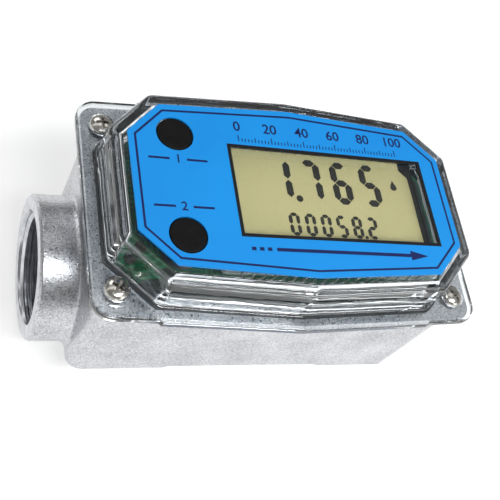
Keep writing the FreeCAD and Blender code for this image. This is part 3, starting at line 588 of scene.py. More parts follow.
# %% Ridge along a helix
STEPS_PER_TURN = 48
FADE_STEPS = STEPS_PER_TURN / 3
ROOT_SHARE = 0.42
TIP_SHARE = 0.1


def helix(root, depth, pitch, start, span, place_point):
    """Rings of a ridge along a helix, fading out at both ends."""
    steps = int(span / pitch * STEPS_PER_TURN)
    rings = []
    for step in range(steps + 1):
        angle = math.tau * step / STEPS_PER_TURN
        along = start + pitch * step / STEPS_PER_TURN
        crest = root + depth * min(1.0, step / FADE_STEPS, (steps - step) / FADE_STEPS)
        half, tip = ROOT_SHARE * pitch, TIP_SHARE * pitch
        section = [(root, -half), (crest, -tip), (crest, tip), (root, half)]
        rings.append([place_point(radius, angle, along + shift) for radius, shift in section])
    return rings


print("one turn is drawn in %d steps" % STEPS_PER_TURN)

# %% Threads in both ports
THREAD_PITCH = 25.4 / 14 * MM
THREAD_BORE = 12.95 * MM
THREAD_DEPTH = 0.95 * MM
THREAD_SPAN = 12.2 * MM
MOUTH_GAP = 0.9 * MM
THREAD_SMOOTH_DEG = 20


def on_flow(side):
    """Place a point by its distance from the flow axis, its turn and its distance along it."""
    return lambda radius, angle, along: Vector((side * along, radius * math.sin(angle),
                                                AXIS_Z + radius * math.cos(angle)))


for name, side in (("inlet_thread", -1), ("outlet_thread", 1)):
    ridge = loft(helix(THREAD_BORE, -THREAD_DEPTH, THREAD_PITCH, port_face_x - MOUTH_GAP - THREAD_SPAN,
                       THREAD_SPAN, on_flow(side)))
    make_piece(name, ridge, turned_aluminium, sharp_deg=THREAD_SMOOTH_DEG)
print("thread turns: %.1f" % (THREAD_SPAN / THREAD_PITCH))

# %% [markdown]
# ## The outline of the face
# The label, the raised wall, the gasket and the board all follow one outline: a long octagon
# whose two long sides are bowed, like the lid of a chest. Growing it outward keeps its sides
# parallel, so one function gives every ring that the cover needs. A quarter of the outline
# is enough, because the other three are its mirror images.

# %% Round a corner and mirror a quarter
ARC_STEPS = 4


def round_corner(before, corner, after, radius, steps=ARC_STEPS):
    """Points of an arc that rounds one corner."""
    back = (before - corner).normalized()
    ahead = (after - corner).normalized()
    turn = math.pi - back.angle(ahead)
    reach = radius * math.tan(turn / 2)
    centre = corner + (back + ahead).normalized() * radius / math.cos(turn / 2)
    first = corner + back * reach - centre
    last = corner + ahead * reach - centre
    points = []
    for step in range(steps + 1):
        share = step / steps
        mixed = (first * math.sin((1 - share) * turn) + last * math.sin(share * turn)) / math.sin(turn)
        points.append(centre + mixed)
    return points


def four_fold(quarter, middle):
    """Whole ring from its right-hand upper quarter and its points at the middle of the top."""
    top = quarter + middle + [Vector((-p.x, p.y)) for p in reversed(quarter)]
    return top + [Vector((-p.x, -p.y)) for p in top]


print("points on a round corner:", ARC_STEPS + 1)

# %% Rings that follow the label
LABEL_END = 19.1 * MM
LABEL_CHAMFER = 7.5 * MM
MID_RADIUS = 4.0 * MM
NEAR_CORNER = (0.06, 0.1)


def label_ring(grow, z, corner_mm=1.0):
    """Label outline grown by a distance in metres, at one height."""
    length = label_high.x + grow
    end = LABEL_END + grow
    bow = label_high.y + grow
    chamfer = LABEL_CHAMFER + grow * (2 - math.sqrt(2))
    low, first, second, top = (Vector(p) for p in ((length, 0), (length, end - chamfer),
                                                   (length - chamfer, end), (0, bow)))
    left = Vector((-second.x, second.y))
    radius = corner_mm * MM
    quarter = round_corner(low, first, second, radius) + round_corner(first, second, top, radius)
    # The flange has two points more than its corner, so this ring gets two as well.
    quarter += [quarter[-1].lerp(top, share) for share in NEAR_CORNER]
    middle = round_corner(second, top, left, MID_RADIUS)
    return [Vector((p.x, p.y, z)) for p in four_fold(quarter, middle)]


print("points on one ring:", len(label_ring(0, LABEL_Z)))

# %% [markdown]
# ## The clear cover
# The cover is one moulding: a thick flange, a raised wall with a soft top edge, and a deck
# under the label. Plastic this clear is judged by its edges, so each one gets its true
# radius. Rings run from the inside of the deck, down the wall, out round the flange and up
# again to the deck, and one loft skins them all.

# %% Rings of the flange
FLANGE_THICK = 2.2 * MM
FLANGE_END = 25.8 * MM
FLANGE_CORNER = 4.6 * MM
FLANGE_PROUD = 0.5 * MM
PROUD_X = 32 * MM
PROUD_RAMP = 0.3 * MM
FLANGE_TOP = RIM_Z + FLANGE_THICK


def flange_ring(grow, z):
    """Edge of the flange, grown by a distance, with its proud middle stretch."""
    length = cover_high.x + grow
    end = FLANGE_END + grow
    bow = cover_high.y - FLANGE_PROUD + grow
    side, corner, top = Vector((length, 0)), Vector((length, end)), Vector((0, bow))
    quarter = round_corner(side, corner, top, FLANGE_CORNER + grow, steps=2 * ARC_STEPS + 1)
    for x, proud in ((PROUD_X + PROUD_RAMP, 0), (PROUD_X - PROUD_RAMP, FLANGE_PROUD)):
        quarter.append(Vector((x, bow + (end - bow) * x / length + proud)))
    proud_top = Vector((0, bow + FLANGE_PROUD))
    left = Vector((-quarter[-1].x, quarter[-1].y))
    middle = round_corner(quarter[-1], proud_top, left, MID_RADIUS)
    return [Vector((p.x, p.y, z)) for p in four_fold(quarter, middle)]


print("points on one ring:", len(flange_ring(0, RIM_Z)))

# %% Loft the cover
WALL_OUT = 3.5 * MM
WALL_IN = 1.2 * MM
WALL_DRAFT = 0.45 * MM
DECK_THICK = 2.5 * MM
TOP_RADIUS = 1.8 * MM
INNER_RADIUS = 0.8 * MM
FOOT_RADIUS = 0.9 * MM
EDGE_RADIUS = 0.5 * MM
INNER_CORNER_MM = 0.8
OUTER_CORNER_MM = 3.0
TOP_CORNER_MM = 1.4

rings = []
for sine, cosine in reversed(quarter_turn(3)):
    rings.append(label_ring(WALL_IN - INNER_RADIUS * (1 - cosine),
                            DECK_Z - DECK_THICK - INNER_RADIUS * (1 - sine), INNER_CORNER_MM))
rings.append(label_ring(WALL_IN, RIM_Z, INNER_CORNER_MM))
for sine, cosine in quarter_turn(3):
    rings.append(flange_ring(-EDGE_RADIUS * (1 - sine), RIM_Z + EDGE_RADIUS * (1 - cosine)))
for sine, cosine in quarter_turn(3):
    rings.append(flange_ring(-EDGE_RADIUS * (1 - cosine), FLANGE_TOP - EDGE_RADIUS * (1 - sine)))
for sine, cosine in quarter_turn(3):
    out = WALL_OUT + WALL_DRAFT + FOOT_RADIUS * (1 - sine)
    rings.append(label_ring(out, FLANGE_TOP + FOOT_RADIUS * (1 - cosine), OUTER_CORNER_MM))
for sine, cosine in quarter_turn(6):
    out = WALL_OUT - TOP_RADIUS * (1 - cosine)
    rings.append(label_ring(out, DECK_Z - TOP_RADIUS * (1 - sine),
                            OUTER_CORNER_MM + (TOP_CORNER_MM - OUTER_CORNER_MM) * sine))
cover_shell = make_piece("cover_shell", loft(rings), clear_polycarbonate,
                         replaces=["clear_cover"])
print("cover rings:", len(rings), "points each:", len(rings[0]))

# %% [markdown]
# ## Holes in the cover
# The buttons come up through two round holes in the deck, and the four screws sit in sunk
# holes in the flange. All holes are turned shapes in one cutter, and one exact boolean takes
# them out of the cover.


# %% Find a middle and cut a shape
def middle_of(node):
    """Centre of a node's box, seen from above."""
    low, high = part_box(node)
    return ((low.x + high.x) / 2, (low.y + high.y) / 2)


def cut(piece, shape):
    """Take a closed shape away from a piece."""
    bmesh.ops.recalc_face_normals(shape, faces=shape.faces)
    data = bpy.data.meshes.new("cutter")
    shape.to_mesh(data)
    shape.free()
    tool = bpy.data.objects.new("cutter", data)
    bpy.context.scene.collection.objects.link(tool)
    knife = piece.modifiers.new("cut", "BOOLEAN")
    knife.object = tool
    knife.solver = "EXACT"
    apply_modifiers(piece)
    bpy.data.objects.remove(tool)


print("first button at x %.1f, y %.1f mm" % tuple(value / MM for value in middle_of("calibrate_button")))

# %% Cut the button and screw holes
BUTTON_NAMES = ("calibrate_button", "display_button")
BUTTON_HOLE = 4.15 * MM
SCREW_X = 40.6 * MM
SCREW_Y = 19.7 * MM
SCREW_HOLE = 1.7 * MM
SUNK_HOLE = 2.8 * MM
SUNK_DEPTH = 0.8 * MM
BUTTON_SIDES = 64
SCREW_SIDES = 48
HEAD_SEAT = FLANGE_TOP - SUNK_DEPTH
CORNERS = [(sx * SCREW_X, sy * SCREW_Y) for sx in (-1, 1) for sy in (-1, 1)]

# Every cutter reaches past the surfaces that it cuts, so no skin is left.
button_hole = [(BUTTON_HOLE, DECK_Z - 4 * MM), (BUTTON_HOLE, DECK_Z + MM)]
screw_hole = [(SCREW_HOLE, RIM_Z - MM), (SCREW_HOLE, HEAD_SEAT), (SUNK_HOLE, HEAD_SEAT),
              (SUNK_HOLE, FLANGE_TOP + 2.5 * MM)]
holes = bmesh.new()
for name in BUTTON_NAMES:
    turned(button_hole, middle_of(name), BUTTON_SIDES, holes)
for at in CORNERS:
    turned(screw_hole, at, SCREW_SIDES, holes)
cut(cover_shell, holes)
settle_normals(cover_shell)
print("cover faces:", len(cover_shell.data.polygons))

# %% [markdown]
# ## Printing the label
# Screen-printed lines lie a few hundredths of a millimetre proud. Each is a closed sliver of
# mesh: a strip between two rings, or a flat shape given a little height. The navy line
# follows the label's edge. A heavier black line frames the display window and runs down
# the cut edge of the film inside it.

# %% Strips of ink
INK_THICK = 0.03 * MM
INK_SMOOTH_DEG = 30
BORDER_GROW = -1.55 * MM
BORDER_HALF = 0.24 * MM


def strip(outer, inner, height=INK_THICK):
    """Closed flat band between two level rings."""
    raised = [[p + Vector((0, 0, height)) for p in ring] for ring in (inner, outer)]
    return loft([outer, inner, raised[0], raised[1]], capped=False)


border = strip(label_ring(BORDER_GROW + BORDER_HALF, LABEL_Z, corner_mm=0.5),
               label_ring(BORDER_GROW - BORDER_HALF, LABEL_Z, corner_mm=0.4))
make_piece("border_line", border, navy_ink, sharp_deg=INK_SMOOTH_DEG)

# %% Frame of the display window
WINDOW_X = (-15.7 * MM, 32.3 * MM)
WINDOW_Y = (-11.3 * MM, 9.9 * MM)
FRAME_WIDTH = 0.75 * MM
SLEEVE = 0.03 * MM


def rectangle(x, y, z, grow=0.0):
    """Ring of four corners."""
    return [Vector((x[i] + (grow if i else -grow), y[j] + (grow if j else -grow), z))
            for i, j in ((0, 0), (1, 0), (1, 1), (0, 1))]


sleeve_z = label_low.z + SLEEVE
window_line = strip(rectangle(WINDOW_X, WINDOW_Y, sleeve_z, FRAME_WIDTH),
                    rectangle(WINDOW_X, WINDOW_Y, sleeve_z, -SLEEVE), LABEL_Z - sleeve_z + INK_THICK)
make_piece("window_line", window_line, black_ink)

# %% [markdown]
# ## Numbers, ticks and an arrow
# The face carries no words. Above the window stands a plain scale with round numbers, below
# it an arrow for the direction of flow, and each button's number stands between two bars.
# Numbers come from Blender's own font as a curve, which is then turned into mesh. Print is
# laid out in millimetres from the middle of the meter, as its artwork would be.


# %% Flat shapes and numbers
INK_SPREAD = 0.012


def slab(outline_mm, z, shape):
    """Add a flat shape as thick as ink, from corner points in millimetres."""
    levels = (z, z + INK_THICK)
    return loft([[Vector((x * MM, y * MM, level)) for x, y in outline_mm] for level in levels], shape)


def bar(x, y, width, height, z, shape):
    """Add a small upright rectangle, centred on a point, in millimetres."""
    left, right, low, high = x - width / 2, x + width / 2, y - height / 2, y + height / 2
    return slab([(left, low), (right, low), (right, high), (left, high)], z, shape)


def dot(x, y, radius, z, shape, count=24):
    """Add a flat disc, in millimetres."""
    return turned([(radius * MM, z), (radius * MM, z + INK_THICK)], (x * MM, y * MM), count, shape)


def numerals(text, x, y, size, shape):
    """Add upright numerals, centred on a point, in millimetres."""
    curve = bpy.data.curves.new("numeral", "FONT")
    curve.body = text
    curve.size = size * MM
    curve.align_x = "CENTER"
    curve.align_y = "CENTER"
    curve.extrude = INK_THICK / 2
    curve.offset = size * INK_SPREAD * MM
    curve.resolution_u = 4
    holder = bpy.data.objects.new("numeral", curve)
    bpy.context.scene.collection.objects.link(holder)
    bpy.context.view_layer.update()
    mesh = bpy.data.meshes.new_from_object(holder.evaluated_get(bpy.context.evaluated_depsgraph_get()))
    mesh.transform(Matrix.Translation(Vector((x * MM, y * MM, LABEL_Z + INK_THICK / 2))))
    shape.from_mesh(mesh)
    bpy.data.objects.remove(holder)


print("ink %.2f mm thick" % (INK_THICK / MM))

# %% Print the scale
SCALE_START = -13.4
SCALE_STEP = 8.0
SCALE_FOOT = 11.5
NUMBER_Y = 15.35
NUMBER_SIZE = 3.5
TICK_WIDTH = 0.22
TICK_TALL = {10: 1.6, 5: 1.2, 1: 0.8}

scale_print = bmesh.new()
for number in range(6):
    numerals(str(number * 20), SCALE_START + number * SCALE_STEP, NUMBER_Y, NUMBER_SIZE, scale_print)
for tick in range(51):
    tall = next(height for every, height in TICK_TALL.items() if tick % every == 0)
    bar(SCALE_START + tick * SCALE_STEP / 10, SCALE_FOOT + tall / 2, TICK_WIDTH, tall, LABEL_Z, scale_print)
make_piece("scale_print", scale_print, navy_ink, sharp_deg=INK_SMOOTH_DEG)

# %% Print the arrow
ARROW_Y = -14.75
SHAFT_X = (-9.0, 24.0)
SHAFT_HALF = 0.4
TIP_X = 28.6
BARB_HALF = 1.2
DASH_X = (-10.6, -12.4, -14.2)
DASH_LONG = 1.0

flow_print = bmesh.new()
tail, neck = SHAFT_X
upper = [(tail, SHAFT_HALF), (neck, SHAFT_HALF), (neck, BARB_HALF)]
lower = [(x, -y) for x, y in reversed(upper)]
slab([(x, ARROW_Y + y) for x, y in upper + [(TIP_X, 0)] + lower], LABEL_Z, flow_print)
for x in DASH_X:
    bar(x, ARROW_Y, DASH_LONG, 2 * SHAFT_HALF, LABEL_Z, flow_print)
make_piece("flow_print", flow_print, navy_ink, sharp_deg=INK_SMOOTH_DEG)

# %% Print the button marks
MARK_SHIFT = (-6.3, 6.5)
MARK_SIZE = 2.9
MARK_BAR = (4.6, 0.5)
MARK_BAR_X = 4.2

button_print = bmesh.new()
for number, name, shift in zip("12", BUTTON_NAMES, MARK_SHIFT):
    x, y = (value / MM for value in middle_of(name))
    numerals(number, x, y + shift, MARK_SIZE, button_print)
    for side in (-1, 1):
        bar(x + side * MARK_BAR_X, y + shift, *MARK_BAR, LABEL_Z, button_print)
make_piece("button_print", button_print, navy_ink, sharp_deg=INK_SMOOTH_DEG)

# %% [markdown]
# ## Display digits
# A seven-segment digit is seven bars with pointed ends, and a gap of a hair between them.
# One function draws a digit from its lit segments, and the same function serves the large
# flow reading and the small total below it. A drop beside them shows that liquid flows, and
# a dark strip at the right-hand end of the glass is painted shade for the gap between the
# glass and the window's edge. These are in millimetres too.

# %% Seven-segment digits
SEGMENTS = {"0": "abcdef", "1": "bc", "2": "abged", "3": "abgcd", "4": "fgbc", "5": "afgcd",
            "6": "afgedc", "7": "abc", "8": "abcdefg", "9": "abcdfg"}
GAP_SHARE = 0.07

glass_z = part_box("lcd_glass")[1].z


def segment(start, end, width, gap):
    """Outline of one segment between two points: a bar with pointed ends."""
    start, end = Vector(start), Vector(end)
    along = (end - start).normalized()
    across = Vector((-along.y, along.x)) * width / 2
    start, end = start + along * gap, end - along * gap
    lean = along * width / 2
    return [start, start + lean + across, end - lean + across,
            end, end - lean - across, start + lean - across]


def digit(symbol, x, y, width, height, thick, shape):
    """Add one digit with its lower left corner at (x, y), all in millimetres."""
    left, right = x + thick / 2, x + width - thick / 2
    low, mid, high = y + thick / 2, y + height / 2, y + height - thick / 2
    spans = {"a": ((left, high), (right, high)), "b": ((right, high), (right, mid)),
             "c": ((right, mid), (right, low)), "d": ((left, low), (right, low)),
             "e": ((left, mid), (left, low)), "f": ((left, high), (left, mid)),
             "g": ((left, mid), (right, mid))}
    for key in SEGMENTS[symbol]:
        slab(segment(*spans[key], thick, GAP_SHARE * thick), glass_z, shape)


print("segments in an 8:", len(SEGMENTS["8"]))

# %% Draw the reading and the total
FLOW_X = (-5.0, 2.6, 10.3, 18.0)
FLOW_Y = -0.3
FLOW_DIGIT = (5.0, 11.2, 1.7)
FLOW_POINT = (1.2, 0.5, 0.85)
TOTAL_START = -2.6
TOTAL_STEP = 3.93
TOTAL_Y = -9.0
TOTAL_DIGIT = (2.7, 5.7, 0.9)
TOTAL_POINT = (16.35, -8.6, 0.42)

reading = bmesh.new()
for symbol, x in zip("1765", FLOW_X):
    digit(symbol, x, FLOW_Y, *FLOW_DIGIT, reading)
dot(*FLOW_POINT, glass_z, reading)
for number, symbol in enumerate("000582"):
    digit(symbol, TOTAL_START + TOTAL_STEP * number, TOTAL_Y, *TOTAL_DIGIT, reading)
dot(*TOTAL_POINT, glass_z, reading, count=20)
print("corner points in the digits:", len(reading.verts))

# %% Draw the flow drop and the painted shade at the end of the glass
DROP_X, DROP_Y = 26.9, 5.3
DROP_RADIUS = 0.85
DROP_TIP = 1.9
SHADE_STRIP_X = (31.5, 33.0)
SHADE_STRIP_Y = -2.2
SHADE_STRIP_LONG = 30.4
SHADE_CORNER = [(29.6, 10.2), (31.6, 8.2), (31.6, 13.0), (29.6, 13.0)]

round_part = [math.radians(angle) for angle in range(50, 311, 20)]
drop = [(DROP_X + DROP_RADIUS * math.sin(t), DROP_Y + DROP_RADIUS * math.cos(t)) for t in round_part]
slab(drop + [(DROP_X, DROP_Y + DROP_TIP)], glass_z, reading)
# Painted shade: a dark strip and a corner over the right-hand end of the glass.
bar(sum(SHADE_STRIP_X) / 2, SHADE_STRIP_Y, SHADE_STRIP_X[1] - SHADE_STRIP_X[0], SHADE_STRIP_LONG, glass_z, reading)
slab(SHADE_CORNER, glass_z, reading)
make_piece("display_reading", reading, segment_dark, sharp_deg=INK_SMOOTH_DEG)

# %% [markdown]
# ## Solder on the display pins
# The glass stands on two rows of clip pins, and each pin is soldered to a pad just outside
# it. Through the clear wall the joints read as a row of bright beads, so each is a small
# mound turned from a profile, on the pitch of the pins.

# %% Solder mounds
PIN_PITCH = 2.54 * MM
PIN_COUNT = 18
MOUND_RADIUS = 0.75 * MM
MOUND_HEIGHT = 0.7 * MM
MOUND_SIDES = 12
MOUND_SHARES = ((1, 0), (0.75, 0.35), (0.45, 0.8), (0.1, 1))

pins_low, pins_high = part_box("lcd_pins")
mound = [(r * MOUND_RADIUS, board_corner.z + h * MOUND_HEIGHT) for r, h in MOUND_SHARES]
first_pin = (pins_low.x + pins_high.x - (PIN_COUNT - 1) * PIN_PITCH) / 2
solder = bmesh.new()
for row_y in (pins_low.y - MOUND_RADIUS / 2, pins_high.y + MOUND_RADIUS / 2):
    for number in range(PIN_COUNT):
        turned(mound, (first_pin + number * PIN_PITCH, row_y), MOUND_SIDES, solder)
make_piece("pin_solder", solder, tinned_pins)
print("solder joints:", 2 * PIN_COUNT)

# %% [markdown]
# ## Buttons
# Each button is a rubber cap with a rounded rim and a shallow dish on top. It is turned
# from a profile, and it rides on its own body, so it sinks when the joint is pressed. A lip
# under the deck keeps it in, and a thin stem reaches down to the switch.

# %% Rubber caps
CAP_RADIUS = 4.0 * MM
CAP_EDGE = 0.45 * MM
CAP_DISH = ((0.6, 0.12 * MM), (0.05, 0.18 * MM))
LIP_RADIUS = 4.85 * MM
LIP_TOP = DECK_Z - DECK_THICK - 0.15 * MM
LIP_FOOT = LIP_TOP - 0.9 * MM
STEM_RADIUS = 1.3 * MM
SOFT = 0.2 * MM

for name, body in zip(BUTTON_NAMES, ("calibrate_key", "display_key")):
    low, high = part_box(name)
    profile = [(STEM_RADIUS - SOFT, low.z), (STEM_RADIUS, low.z + SOFT), (STEM_RADIUS, LIP_FOOT),
               (LIP_RADIUS - SOFT, LIP_FOOT), (LIP_RADIUS, LIP_FOOT + SOFT), (LIP_RADIUS, LIP_TOP),
               (CAP_RADIUS, LIP_TOP), (CAP_RADIUS, high.z - CAP_EDGE)]
    for sine, cosine in quarter_turn(4)[1:]:
        profile.append((CAP_RADIUS - CAP_EDGE * (1 - cosine), high.z - CAP_EDGE * (1 - sine)))
    profile += [(share * CAP_RADIUS, high.z - sunk) for share, sunk in CAP_DISH]
    make_piece(name.replace("button", "cap"), turned(profile, middle_of(name), BUTTON_SIDES),
               button_rubber, body=body, replaces=[name])

# %% [markdown]
# ## Screws
# Four cross-recess screws hold the cover. The pan head is a stack of circles that closes in
# an arc, the recess is two tapered blades cut out of it, and a fine helix on the shank shows
# through the clear flange. Each screw stopped at its own angle when it was driven home.


# %% Cross recess and thread path of a screw
HEAD_HEIGHT = 1.9 * MM
RECESS_DEPTH = 1.2 * MM
BLADE_OVER = 0.1 * MM
BLADE_FOOT_MM = (0.75, 0.16)
BLADE_TOP_MM = (1.65, 0.36)


def on_screw(at):
    """Place a point round a screw's own upright axis."""
    return lambda radius, angle, along: Vector((at[0] + radius * math.cos(angle),
                                                at[1] + radius * math.sin(angle), along))


def tapered_blade(at, turn_deg):
    """One arm of the cross recess: wide at the top, narrow at the bottom."""
    turn = Matrix.Rotation(math.radians(turn_deg), 2)
    rings = []
    for (half_long, half_wide), z in ((BLADE_FOOT_MM, -RECESS_DEPTH), (BLADE_TOP_MM, BLADE_OVER)):
        level = HEAD_SEAT + HEAD_HEIGHT + z
        box = [(x * half_long, y * half_wide) for x, y in ((-1, -1), (1, -1), (1, 1), (-1, 1))]
        rings.append([Vector((*(turn @ Vector(p) * MM + Vector(at)), level)) for p in box])
    return loft(rings)


print("recess %.1f mm deep" % (RECESS_DEPTH / MM))

# %% Cover screws
HEAD_RADIUS = 2.6 * MM
HEAD_SOFT = 0.15 * MM
RIM_SHARE = 0.35
SHANK_RADIUS = 1.35 * MM
SHANK_LENGTH = 7.8 * MM
POINT_RADIUS = 0.9 * MM
POINT_LENGTH = 0.5 * MM
SCREW_PITCH = 0.7 * MM
SCREW_RIDGE = 0.13 * MM
SCREW_SINK = 0.02 * MM
SCREW_THREAD_LOW = 7 * MM
SCREW_THREAD_SPAN = 6.4 * MM
CROWN_FLAT = 0.06 * MM
ARMS_DEG = (20, 110)
TURN_STEP_DEG = 35

rim_z = HEAD_SEAT + RIM_SHARE * HEAD_HEIGHT
foot_z = HEAD_SEAT - SHANK_LENGTH
screw_profile = [(POINT_RADIUS, foot_z), (SHANK_RADIUS, foot_z + POINT_LENGTH), (SHANK_RADIUS, HEAD_SEAT),
                 (HEAD_RADIUS - HEAD_SOFT, HEAD_SEAT), (HEAD_RADIUS, HEAD_SEAT + HEAD_SOFT),
                 (HEAD_RADIUS, rim_z)]
screw_profile += [(max(HEAD_RADIUS * cosine, CROWN_FLAT), rim_z + (1 - RIM_SHARE) * HEAD_HEIGHT * sine)
                  for sine, cosine in quarter_turn(6)[1:]]
for number, at in enumerate(CORNERS, 1):
    cover_screw = make_piece("cover_screw_%d" % number, turned(screw_profile, at, SCREW_SIDES),
                             stainless_steel, replaces=["cover_screws"])
    for arm_deg in ARMS_DEG:
        cut(cover_screw, tapered_blade(at, arm_deg + TURN_STEP_DEG * number))
    settle_normals(cover_screw)
    ridge = loft(helix(SHANK_RADIUS - SCREW_SINK, SCREW_RIDGE, SCREW_PITCH, HEAD_SEAT - SCREW_THREAD_LOW,
                       SCREW_THREAD_SPAN, on_screw(at)))
    make_piece("screw_thread_%d" % number, ridge, stainless_steel,
               sharp_deg=THREAD_SMOOTH_DEG)

# %% [markdown]
# ## The turbine rotor
# Six twisted blades turn in the flow. Each blade is a stack of ellipses from hub to tip, and
# every point of an ellipse is swung round the axis by an amount that grows along the flow,
# which is what gives a turbine blade its pitch. A blade swells at its root, where the
# moulding needs strength, and starts a little inside the hub.

# %% Section of a blade
BLADE_LEAD = 62 * MM
BLADE_HALF = 4.2 * MM
BLADE_THICK = 1.3 * MM


def blade_ring(radius, base_angle, thick, half=BLADE_HALF, count=28):
    """Section of one blade at one radius."""
    ring = []
    for i in range(count):
        turn = math.tau * i / count
        x = half * math.cos(turn)
        side = thick / 2 * math.sin(turn) / radius
        angle = base_angle + math.tau * x / BLADE_LEAD + side
        ring.append(Vector((x, radius * math.sin(angle), AXIS_Z + radius * math.cos(angle))))
    return ring


print("twist over a blade: %.0f degrees" % (360 * 2 * BLADE_HALF / BLADE_LEAD))

# %% Hub and six blades
BLADE_COUNT = 6
HUB_RADIUS = 3.8 * MM
HUB_SOFT = 0.6 * MM
ROOT_SINK = MM
ROOT_GROWTH = 1.7
ROOT_SWELL = 0.5
SWELL_END = 0.3
TIP_THINNING = 0.25
TIP_SOFT = 0.05 * MM
TIP_TRIM = 0.2 * MM
HUB_SIDES = 48
BLADE_SPAN = (0.0, 0.12, 0.4, 0.7, 0.97)
ROTOR_SMOOTH_DEG = 40


def turned_on_flow(profile, count, shape):
    """Add a solid of revolution round the flow axis, from (radius, x) pairs in metres."""
    upright = [circle(radius, x, count=count) for radius, x in profile]
    return loft([[Vector((p.z, p.x, p.y + AXIS_Z)) for p in ring] for ring in upright], shape)


tip_radius = (rotor_high.z - rotor_low.z) / 2
rotor_shape = bmesh.new()
for number in range(BLADE_COUNT):
    base = math.tau * number / BLADE_COUNT
    stack = [blade_ring(HUB_RADIUS - ROOT_SINK, base, ROOT_GROWTH * BLADE_THICK)]
    for share in BLADE_SPAN:
        swell = ROOT_SWELL * max(0.0, 1 - share / SWELL_END)
        stack.append(blade_ring(HUB_RADIUS + share * (tip_radius - HUB_RADIUS), base,
                                BLADE_THICK * (1 - TIP_THINNING * share + swell)))
    stack.append(blade_ring(tip_radius - TIP_SOFT, base, BLADE_THICK / 2, BLADE_HALF - TIP_TRIM))
    loft(stack, rotor_shape)
half_hub = (rotor_high.x - rotor_low.x) / 2
hub = [(HUB_RADIUS - ROOT_SINK, -half_hub)]
for sine, cosine in quarter_turn(4):
    hub.append((HUB_RADIUS - HUB_SOFT * (1 - sine), -half_hub + HUB_SOFT * (1 - cosine)))
turned_on_flow(hub + [(radius, -x) for radius, x in reversed(hub)], HUB_SIDES, rotor_shape)
make_piece("rotor_wheel", rotor_shape, white_acetal, body="rotor",
           replaces=["turbine_rotor"], sharp_deg=ROTOR_SMOOTH_DEG)
print("rotor across the tips: %.1f mm" % (2 * tip_radius / MM))

# %% [markdown]
# ## The camera
# The camera looks down on a corner of the meter from close by, so that the label, the port
# and the front wall all show. It is rolled too, so that the meter lies across the view.

# %% Camera
LENS_MM = 62.43
CAMERA_MM = (-86.67, -91.07, 201.56)
AZIMUTH_DEG, ELEVATION_DEG, ROLL_DEG = -43.26, 53.72, 39.7

camera_data = bpy.data.cameras.new("camera")
camera_data.lens = LENS_MM
camera_data.sensor_width = 36.0
camera_data.clip_start = 0.01
camera = bpy.data.objects.new("camera", camera_data)
azimuth, elevation, roll = (math.radians(angle) for angle in (AZIMUTH_DEG, ELEVATION_DEG, ROLL_DEG))
camera_turn = (Matrix.Rotation(azimuth, 4, "Z") @ Matrix.Rotation(math.pi / 2 - elevation, 4, "X")
               @ Matrix.Rotation(roll, 4, "Z"))
camera.matrix_world = Matrix.Translation(Vector(CAMERA_MM) * MM) @ camera_turn
bpy.context.scene.collection.objects.link(camera)
bpy.context.scene.camera = camera
print("camera %.0f mm from the meter" % Vector(CAMERA_MM).length)

# %% [markdown]
# ## The floor
# The meter stands on a plain white floor in a white room. Painted card is a little grey, so
# it can hold a shadow, and a glow that only the camera, mirrors and lenses see lifts it to
# white without adding light to the meter.

# %% Floor
FLOOR_HALF = 1.5
FLOOR_GLOW = 0.5

floor_mesh = bmesh.new()
bmesh.ops.create_grid(floor_mesh, x_segments=1, y_segments=1, size=FLOOR_HALF)
floor_data = bpy.data.meshes.new("floor")
floor_mesh.to_mesh(floor_data)
floor_mesh.free()
floor = bpy.data.objects.new("floor", floor_data)
bpy.context.scene.collection.objects.link(floor)

white_floor, tree, _ = start_material("white_floor")
ray = add(tree, "LightPath").outputs
seen = add(tree, "Math", {0: ray["Is Camera Ray"], 1: ray["Is Glossy Ray"]}, operation="MAXIMUM")
seen = add(tree, "Math", {0: seen, 1: ray["Is Transmission Ray"]}, operation="MAXIMUM")
glow = add(tree, "Math", {0: seen, 1: FLOOR_GLOW}, operation="MULTIPLY")
shader = add(tree, "BsdfPrincipled", {"Base Color": srgb("d2d2d2"), "Roughness": 0.9,
                                      "Emission Color": (1, 1, 1, 1), "Emission Strength": glow})
add(tree, "OutputMaterial", {"Surface": shader})
floor.data.materials.append(white_floor)
print("floor %.0f m wide" % (2 * FLOOR_HALF))

# %% [markdown]
# ## The room
# Overhead hangs one long soft panel under a grey ceiling, which only mirrors and lenses
# see: clear plastic and metal need something bright and something dark to show their edges.
# Toward the camera's side the walls fade from that grey to a white horizon. The world
# lights the meter weakly and evenly, so the lamps do the shaping.

# %% World
ROOM_LIGHT = 0.42
CEILING = 0.25
HORIZON_UP = (0.22, 0.02)
HORIZON_BACK = (0.5, 0.0)

world = bpy.data.worlds.new("white_room")
bpy.context.scene.world = world
world.use_nodes = True
tree = world.node_tree
tree.nodes.clear()
toward = add(tree, "TexCoord").outputs["Generated"]
part = add(tree, "SeparateXYZ", {"Vector": toward}).outputs
low = add(tree, "MapRange", {"Value": part["Z"], "From Min": HORIZON_UP[0], "From Max": HORIZON_UP[1]})
front = add(tree, "MapRange", {"Value": part["Y"], "From Min": HORIZON_BACK[0],
                               "From Max": HORIZON_BACK[1]})
horizon = add(tree, "Math", {0: low, 1: front}, operation="MULTIPLY")
walls = add(tree, "MapRange", {"Value": horizon, "To Min": CEILING, "To Max": 1.0})
print("ceiling %.2f, horizon 1.00" % CEILING)

# %% Overhead panel
PANEL_GLOW = 1.2
# Each long edge is a plane through the meter, and goes from dark to bright across it.
PANEL_EDGES = (((0, 1, -0.5), 0.03, -0.05), ((0, 1, -0.18), -0.02, 0.04))

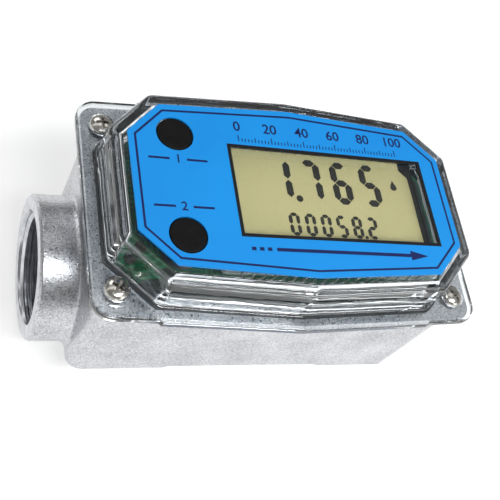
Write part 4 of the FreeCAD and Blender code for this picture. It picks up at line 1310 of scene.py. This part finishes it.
edges = []
for plane, dark, bright in PANEL_EDGES:
    side = add(tree, "VectorMath", {0: toward, 1: plane}, operation="DOT_PRODUCT")
    edges.append(add(tree, "MapRange", {"Value": side, "From Min": dark, "From Max": bright}))
panel = add(tree, "Math", {0: edges[0], 1: edges[1]}, operation="MULTIPLY")
panel_light = add(tree, "Math", {0: panel, 1: PANEL_GLOW}, operation="MULTIPLY")
mirrored = add(tree, "Math", {0: walls, 1: panel_light}, operation="MAXIMUM")
print("panel edges:", len(edges))

# %% Who sees what
ray = add(tree, "LightPath").outputs
bent = add(tree, "Math", {0: ray["Is Glossy Ray"], 1: ray["Is Transmission Ray"]}, operation="MAXIMUM")
lit = add(tree, "Mix", {"Factor": bent, "A": ROOM_LIGHT, "B": mirrored})
power = add(tree, "Mix", {"Factor": ray["Is Camera Ray"], "A": lit, "B": 1.0})
sky = add(tree, "Background", {"Color": (1, 1, 1, 1), "Strength": power})
add(tree, "OutputWorld", {"Surface": sky})
print("world:", world.name)

# %% [markdown]
# ## The lamps
# A long narrow key lamp hangs along the pipe and draws a crisp line on the round ports. A
# square lamp, in front and to the right, fills the long wall. A weak one behind lights the
# far edges.


# %% Lamps
def soft_lamp(name, place_mm, width_mm, height_mm, watts, aim_mm=(0, 0, 30)):
    """Area lamp that faces a point."""
    data = bpy.data.lights.new(name, "AREA")
    data.shape = "RECTANGLE"
    data.size = width_mm * MM
    data.size_y = height_mm * MM
    data.energy = watts
    lamp = bpy.data.objects.new(name, data)
    spot = Vector(place_mm) * MM
    lamp.location = spot
    lamp.rotation_euler = (Vector(aim_mm) * MM - spot).to_track_quat("-Z", "Y").to_euler()
    bpy.context.scene.collection.objects.link(lamp)
    print("%s: %.2f W" % (name, watts))


soft_lamp("key_lamp", (62, -200, 440), 300, 70, 1.45)
soft_lamp("fill_lamp", (330, -420, 240), 260, 260, 0.5)
soft_lamp("back_lamp", (-150, 420, 380), 240, 240, 0.4)

bpy.context.scene.view_settings.view_transform = "Standard"
